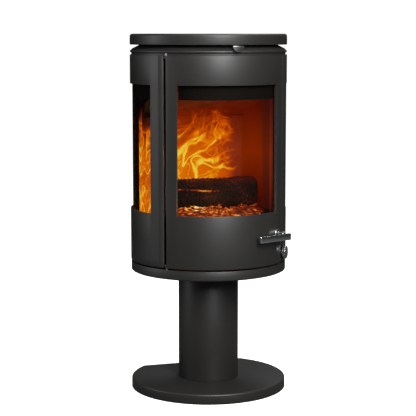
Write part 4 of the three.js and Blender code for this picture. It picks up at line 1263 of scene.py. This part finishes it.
def ember_heap():
    low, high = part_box("ember_bed")
    radius, floor, top = -low.y, low.z, high.z
    draw = np.random.default_rng(21)
    piece = cylinder("ember_heap", radius, floor, top, 160)
    edit(piece)
    pick(piece, "FACE", lambda f: f.normal.z > 0.9)
    for _ in range(HEAP_RINGS):
        ops.mesh.inset(thickness=radius / (HEAP_RINGS + 3))
    slice_off((0, high.y, 0), (0, 1, 0))
    nothing_selected()
    points = read_points(piece)
    upper = points[:, 2] > top - 1e-5
    slope = np.clip((radius - np.hypot(points[:, 0], points[:, 1])) / (0.25 * radius), 0, 1)
    hills = soft_waves(points, 0.05, draw) * 3 * MM + soft_waves(points, 0.012, draw) * 1.5 * MM
    heap = (top - floor) * (slope - 1) * 0.75 + (hills - 1 * MM) * slope
    points[:, 2] += np.where(upper, heap, 0)
    write_points(piece, points)
    smooth(piece, 50)
    finish(piece, embers, "stove_body", "embers", "ember_bed")


embers = ember_material()
ember_heap()

# %% Loose coals
COAL_COUNT = 260
COAL_SIZE = (5 * MM, 13 * MM)
COAL_SPANS = ((0.9, 2.6), (0.6, 0.9), (0.3, 0.6))  # length, width and height, as shares of the size
COAL_FIELD = 152 * MM  # radius that the coals lie within
LOG_LINE = -70 * MM  # where coals pile up under the front log, along Y


def coal_shapes(draw):
    shapes = []
    for number in range(3):
        nothing_selected()
        ops.mesh.primitive_ico_sphere_add(subdivisions=2, radius=1.0, location=(0, 0, 0))
        coal = named(f"coal_{number}")
        points = read_points(coal)
        points *= (1 + 0.22 * soft_waves(points, 1.6, draw))[:, None] * draw.uniform(0.75, 1.2, 3)
        write_points(coal, points)
        shapes.append(coal)
    return shapes


def scatter_coals():
    draw = np.random.default_rng(5)
    chooser = random.Random(5)
    low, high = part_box("ember_bed")
    shapes = coal_shapes(draw)
    copies = []
    while len(copies) < COAL_COUNT:
        x, y = draw.uniform(-0.155, 0.150), draw.uniform(-0.150, high.y - 0.015)
        if math.hypot(x, y) > COAL_FIELD:
            continue
        copy = chooser.choice(shapes).copy()
        copy.data = copy.data.copy()
        scene.collection.objects.link(copy)
        size = draw.uniform(*COAL_SIZE) / 2
        under_log = math.exp(-((y - LOG_LINE) / 0.035) ** 2)
        copy.location = (x, y, high.z + size * 0.35 + under_log * draw.uniform(0, 10) * MM)
        copy.rotation_euler = (draw.uniform(-0.5, 0.5), draw.uniform(-0.35, 0.35), draw.normal(0, 0.5))
        copy.scale = [size * draw.uniform(*span) for span in COAL_SPANS]
        copies.append(copy)
    for shape in shapes:
        bpy.data.objects.remove(shape)
    nothing_selected()
    for copy in copies:
        copy.select_set(True)
    bpy.context.view_layer.objects.active = copies[0]
    ops.object.join()
    piece = named("loose_coals")
    settle()
    smooth(piece, 40)
    finish(piece, embers, "stove_body", "embers")


scatter_coals()

# %% [markdown]
# ## Flames
# Flames have no surface, so they are drawn on thin curtains that only give light and hide nothing
# where the fire is thin. Three closed curtains stand in the firebox: a wide ellipse over the logs, a
# narrower one inside it, and a slim one at the left. Open curtains along the sides carry the fire that
# the left window shows and, in the right one, a smooth sheet of painted firelight for the lit walls behind
# it.
# Colour and transparency of the flames both come from one `heat`: warped, leaning ridges of noise give
# the filaments, and an envelope says where the fire is tall and where it is hot.


# %% Flame material
def light_only(name, strength):
    """A finish that only shines. Two small lamps stand for the light that it throws."""
    glow = Finish(
        name, Base_Color=(0, 0, 0, 1), Roughness=1.0, Specular_IOR_Level=0.0, Emission_Strength=strength
    )
    glow.material.cycles.emission_sampling = "NONE"
    return glow


def flame_material(name, crown, warmth, strength, slope=0.45):
    """crown is the fire's highest point, and slope is how fast it falls away to either side."""
    flame = light_only(name, strength)
    x, y, z = flame.axes()
    sway = flame.noise(5.5, detail=1)
    curl = flame.noise(12, detail=2)
    lean = (sway - 0.5) * 0.28 + (curl - 0.5) * 0.10
    along, across = x * 0.8 + z * 0.6 + lean, z * 0.8 - x * 0.6 - lean
    parts = flame.node("CombineXYZ", {}, {"X": along * 0.42, "Y": y + lean * 0.5, "Z": across})
    wide = flame.noise(15, detail=1, place=parts, distortion=0.35)
    fine = flame.noise(33, detail=2, place=parts, distortion=0.4)
    threads = (wide - 0.5).size().ramp(0.065, 0.0) * 0.85 + (fine - 0.5).size().ramp(0.06, 0.0) * 0.42
    height = z + (wide - 0.5) * 0.14 + (curl - 0.5) * 0.14
    top = crown - (x - 0.045).size() * slope
    fade = (top - height).ramp(-0.02, 0.11) * x.ramp(0.118, 0.04)
    leftness = 1 - (x + 0.17).ramp(-0.02, 0.34)
    lowness = 1 - (z - FIRE_LOW - 0.09).ramp(0, 0.24)
    core = fade * (0.15 + leftness * 0.42 + lowness * 0.14)
    strands = threads * fade * (0.28 + leftness * 0.30 + lowness * 0.08)
    heat = (core + strands + (wide - 0.5) * 0.45 * fade) * warmth
    glow = flame.colours(heat, [
        (0.0, (0.10, 0.004, 0.0002)), (0.2, (0.25, 0.017, 0.0004)), (0.4, (0.60, 0.070, 0.0008)),
        (0.6, (0.80, 0.17, 0.001)), (0.8, (0.90, 0.40, 0.006)), (1.0, (0.96, 0.70, 0.06)),
    ])
    flame.set("Emission Color", glow)
    flame.set("Alpha", heat.ramp(0.02, 0.55) * 0.95)
    return flame.material


flames = flame_material("wood_flame", 0.870, 1.0, 1.0)
wall_flames = flame_material("wall_flame", 0.945, 0.72, 1.8)
print("made", flames.name, wall_flames.name)

# %% [markdown]
# A closed curtain is an open cylinder that wavers and narrows upwards. A side curtain is a plain piece
# of round wall.

# %% Curtains
CURTAIN_CUTS = 30
SHEET_FRONT_FADE = (-0.042, -0.030)  # metres along Y, from clear to full
SHEET_REAR_FADE = (0.108, 0.090)
CLOSED_CURTAINS = {  # centre, half widths, lowest and highest point, seed
    "flame_wide": ((-0.03, 0.03), (0.150, 0.075), 0.60, 0.865, 11),
    "flame_inner": ((-0.05, 0.02), (0.09, 0.045), 0.60, 0.85, 12),
    "flame_left": ((-0.165, 0.0), (0.022, 0.06), 0.545, 0.83, 13),
}


def flame_curtain(name, centre, radii, low, high, seed):
    """A closed, wavering curtain, finely divided, open at its top and bottom."""
    piece = cylinder(name, 1, low, high, 96, end_fill_type="NOTHING")
    piece.scale = (*radii, 1)
    settle()
    edit(piece)
    cut_across(piece, 2, high - low, CURTAIN_CUTS)
    nothing_selected()
    points = read_points(piece)
    draw = np.random.default_rng(seed)
    wide = 1 + 0.10 * soft_waves(points, 0.16, draw)
    narrow = 1 - 0.35 * ((points[:, 2] - low) / (high - low)) ** 2
    points[:, :2] *= (wide * narrow)[:, None]
    points[:, :2] += centre
    write_points(piece, points)
    smooth(piece, 80)
    finish(piece, flames, "stove_body", "embers")


def firelight_sheet_material():
    """A sheet of painted firelight: the even glow of the lit walls at the right-hand side, which thins out
    towards the front.
    """
    lit_sheet = light_only("hot_gas", 1.0)
    x, y, z = lit_sheet.axes()
    lit_sheet.set("Emission Color", painted_firelight(lit_sheet))
    lit_sheet.set("Alpha", y.ramp(*SHEET_FRONT_FADE) * y.ramp(*SHEET_REAR_FADE))
    return lit_sheet.material


def side_curtain(name, radius, first, last, material):
    """An upright curtain along the firebox's side, from the ember bed to the air wash strip."""
    levels = np.linspace(FIRE_LOW, FIRE_HIGH + 6 * MM, 16)
    piece = wall(name, radius, [first, last], levels)
    nothing_selected()
    smooth(piece, 80)
    finish(piece, material, "stove_body", "embers")


hot_gas = firelight_sheet_material()
for name, curtain in CLOSED_CURTAINS.items():
    flame_curtain(name, *curtain)
side_curtain("flame_left_wall", 0.206, -122, -68, wall_flames)
# Sheets of painted firelight in front of the right-hand and rear walls.
side_curtain("hot_gas_right", 0.188, 78, 122, hot_gas)
side_curtain("hot_gas_corner", 0.172, 112, 129, hot_gas)

# %% [markdown]
# ## Light
# The lamps of a plain studio: one tall soft lamp in front and a little to the right, high enough to
# light the top plate and leave the foot dim, and weak ones from the left, above and behind. A white
# room would grey the black paint, so the room stays dim and only the camera sees it white. Two small
# warm lamps in the firebox stand for the light that the flames throw on logs and bricks.

# %% Lamps, room and floor
STOVE_MIDDLE = Vector((0, 0, 0.6))
LAMPS = {  # place, width, height, watts
    "key_lamp": ((0.15, -3.4, 2.45), 0.9, 2.2, 225),
    "left_lamp": ((-3.4, 0.6, 1.5), 1.0, 2.2, 32),
    "top_lamp": ((0.1, -0.9, 3.4), 1.6, 1.6, 32),
    "back_lamp": ((1.2, 1.6, 3.4), 1.2, 1.2, 45),
}


def new_lamp(name, kind, place, power):
    lamp = bpy.data.objects.new(name, bpy.data.lights.new(name, kind))
    scene.collection.objects.link(lamp)
    lamp.data.energy = power
    lamp.location = place
    return lamp


def aimed_lamp(name, place, width, tall, power):
    lamp = new_lamp(name, "AREA", place, power)
    lamp.data.shape = "RECTANGLE"
    lamp.data.size, lamp.data.size_y = width, tall
    lamp.rotation_euler = (STOVE_MIDDLE - Vector(place)).to_track_quat("-Z", "Y").to_euler()
    lamp.visible_camera = False


def warm_lamp(name, place, power, size):
    lamp = new_lamp(name, "POINT", place, power)
    lamp.data.color = (1.0, 0.42, 0.10)
    lamp.data.shadow_soft_size = size


def seen_white(tree, dim, white, output):
    """Joins two shaders: the white one for what the camera sees, the dim one for all other light."""
    rays = tree.nodes.new("ShaderNodeLightPath")
    either = tree.nodes.new("ShaderNodeMixShader")
    tree.links.new(rays.outputs["Is Camera Ray"], either.inputs[0])
    tree.links.new(dim.outputs[0], either.inputs[1])
    tree.links.new(white.outputs[0], either.inputs[2])
    tree.links.new(either.outputs[0], tree.nodes[output].inputs["Surface"])


def room(strength):
    world = bpy.data.worlds.new("studio_room")
    world.use_nodes = True
    scene.world = world
    dim = world.node_tree.nodes["Background"]
    white = world.node_tree.nodes.new("ShaderNodeBackground")
    for shader, power in ((dim, strength), (white, 1.1)):
        shader.inputs["Color"].default_value = (1, 1, 1, 1)
        shader.inputs["Strength"].default_value = power
    seen_white(world.node_tree, dim, white, "World Output")


def studio_floor():
    nothing_selected()
    ops.mesh.primitive_plane_add(size=400, location=(0, 0, -0.5 * MM))
    floor = named("studio_floor")
    pale = Finish("pale_floor", Roughness=0.8, Specular_IOR_Level=0.2, Emission_Color=(1, 1, 1, 1))
    pale.set("Base Color", (0.86, 0.86, 0.855))
    pale.set("Emission Strength", 1.0)
    dim = pale.tree.nodes.new("ShaderNodeBsdfDiffuse")
    dim.inputs["Color"].default_value = (0.10, 0.10, 0.10, 1)
    seen_white(pale.tree, dim, pale.shader, "Material Output")
    floor.data.materials.append(pale.material)


for name, lamp in LAMPS.items():
    aimed_lamp(name, *lamp)
warm_lamp("fire_lamp", (-0.05, -0.02, 0.70), 1.2, 0.03)
warm_lamp("ember_lamp", (0.0, -0.12, 0.58), 0.3, 0.015)
room(0.05)
studio_floor()
scene.view_settings.view_transform = "Standard"
scene.cycles.transparent_max_bounces = 24
print("lamps:", *LAMPS)
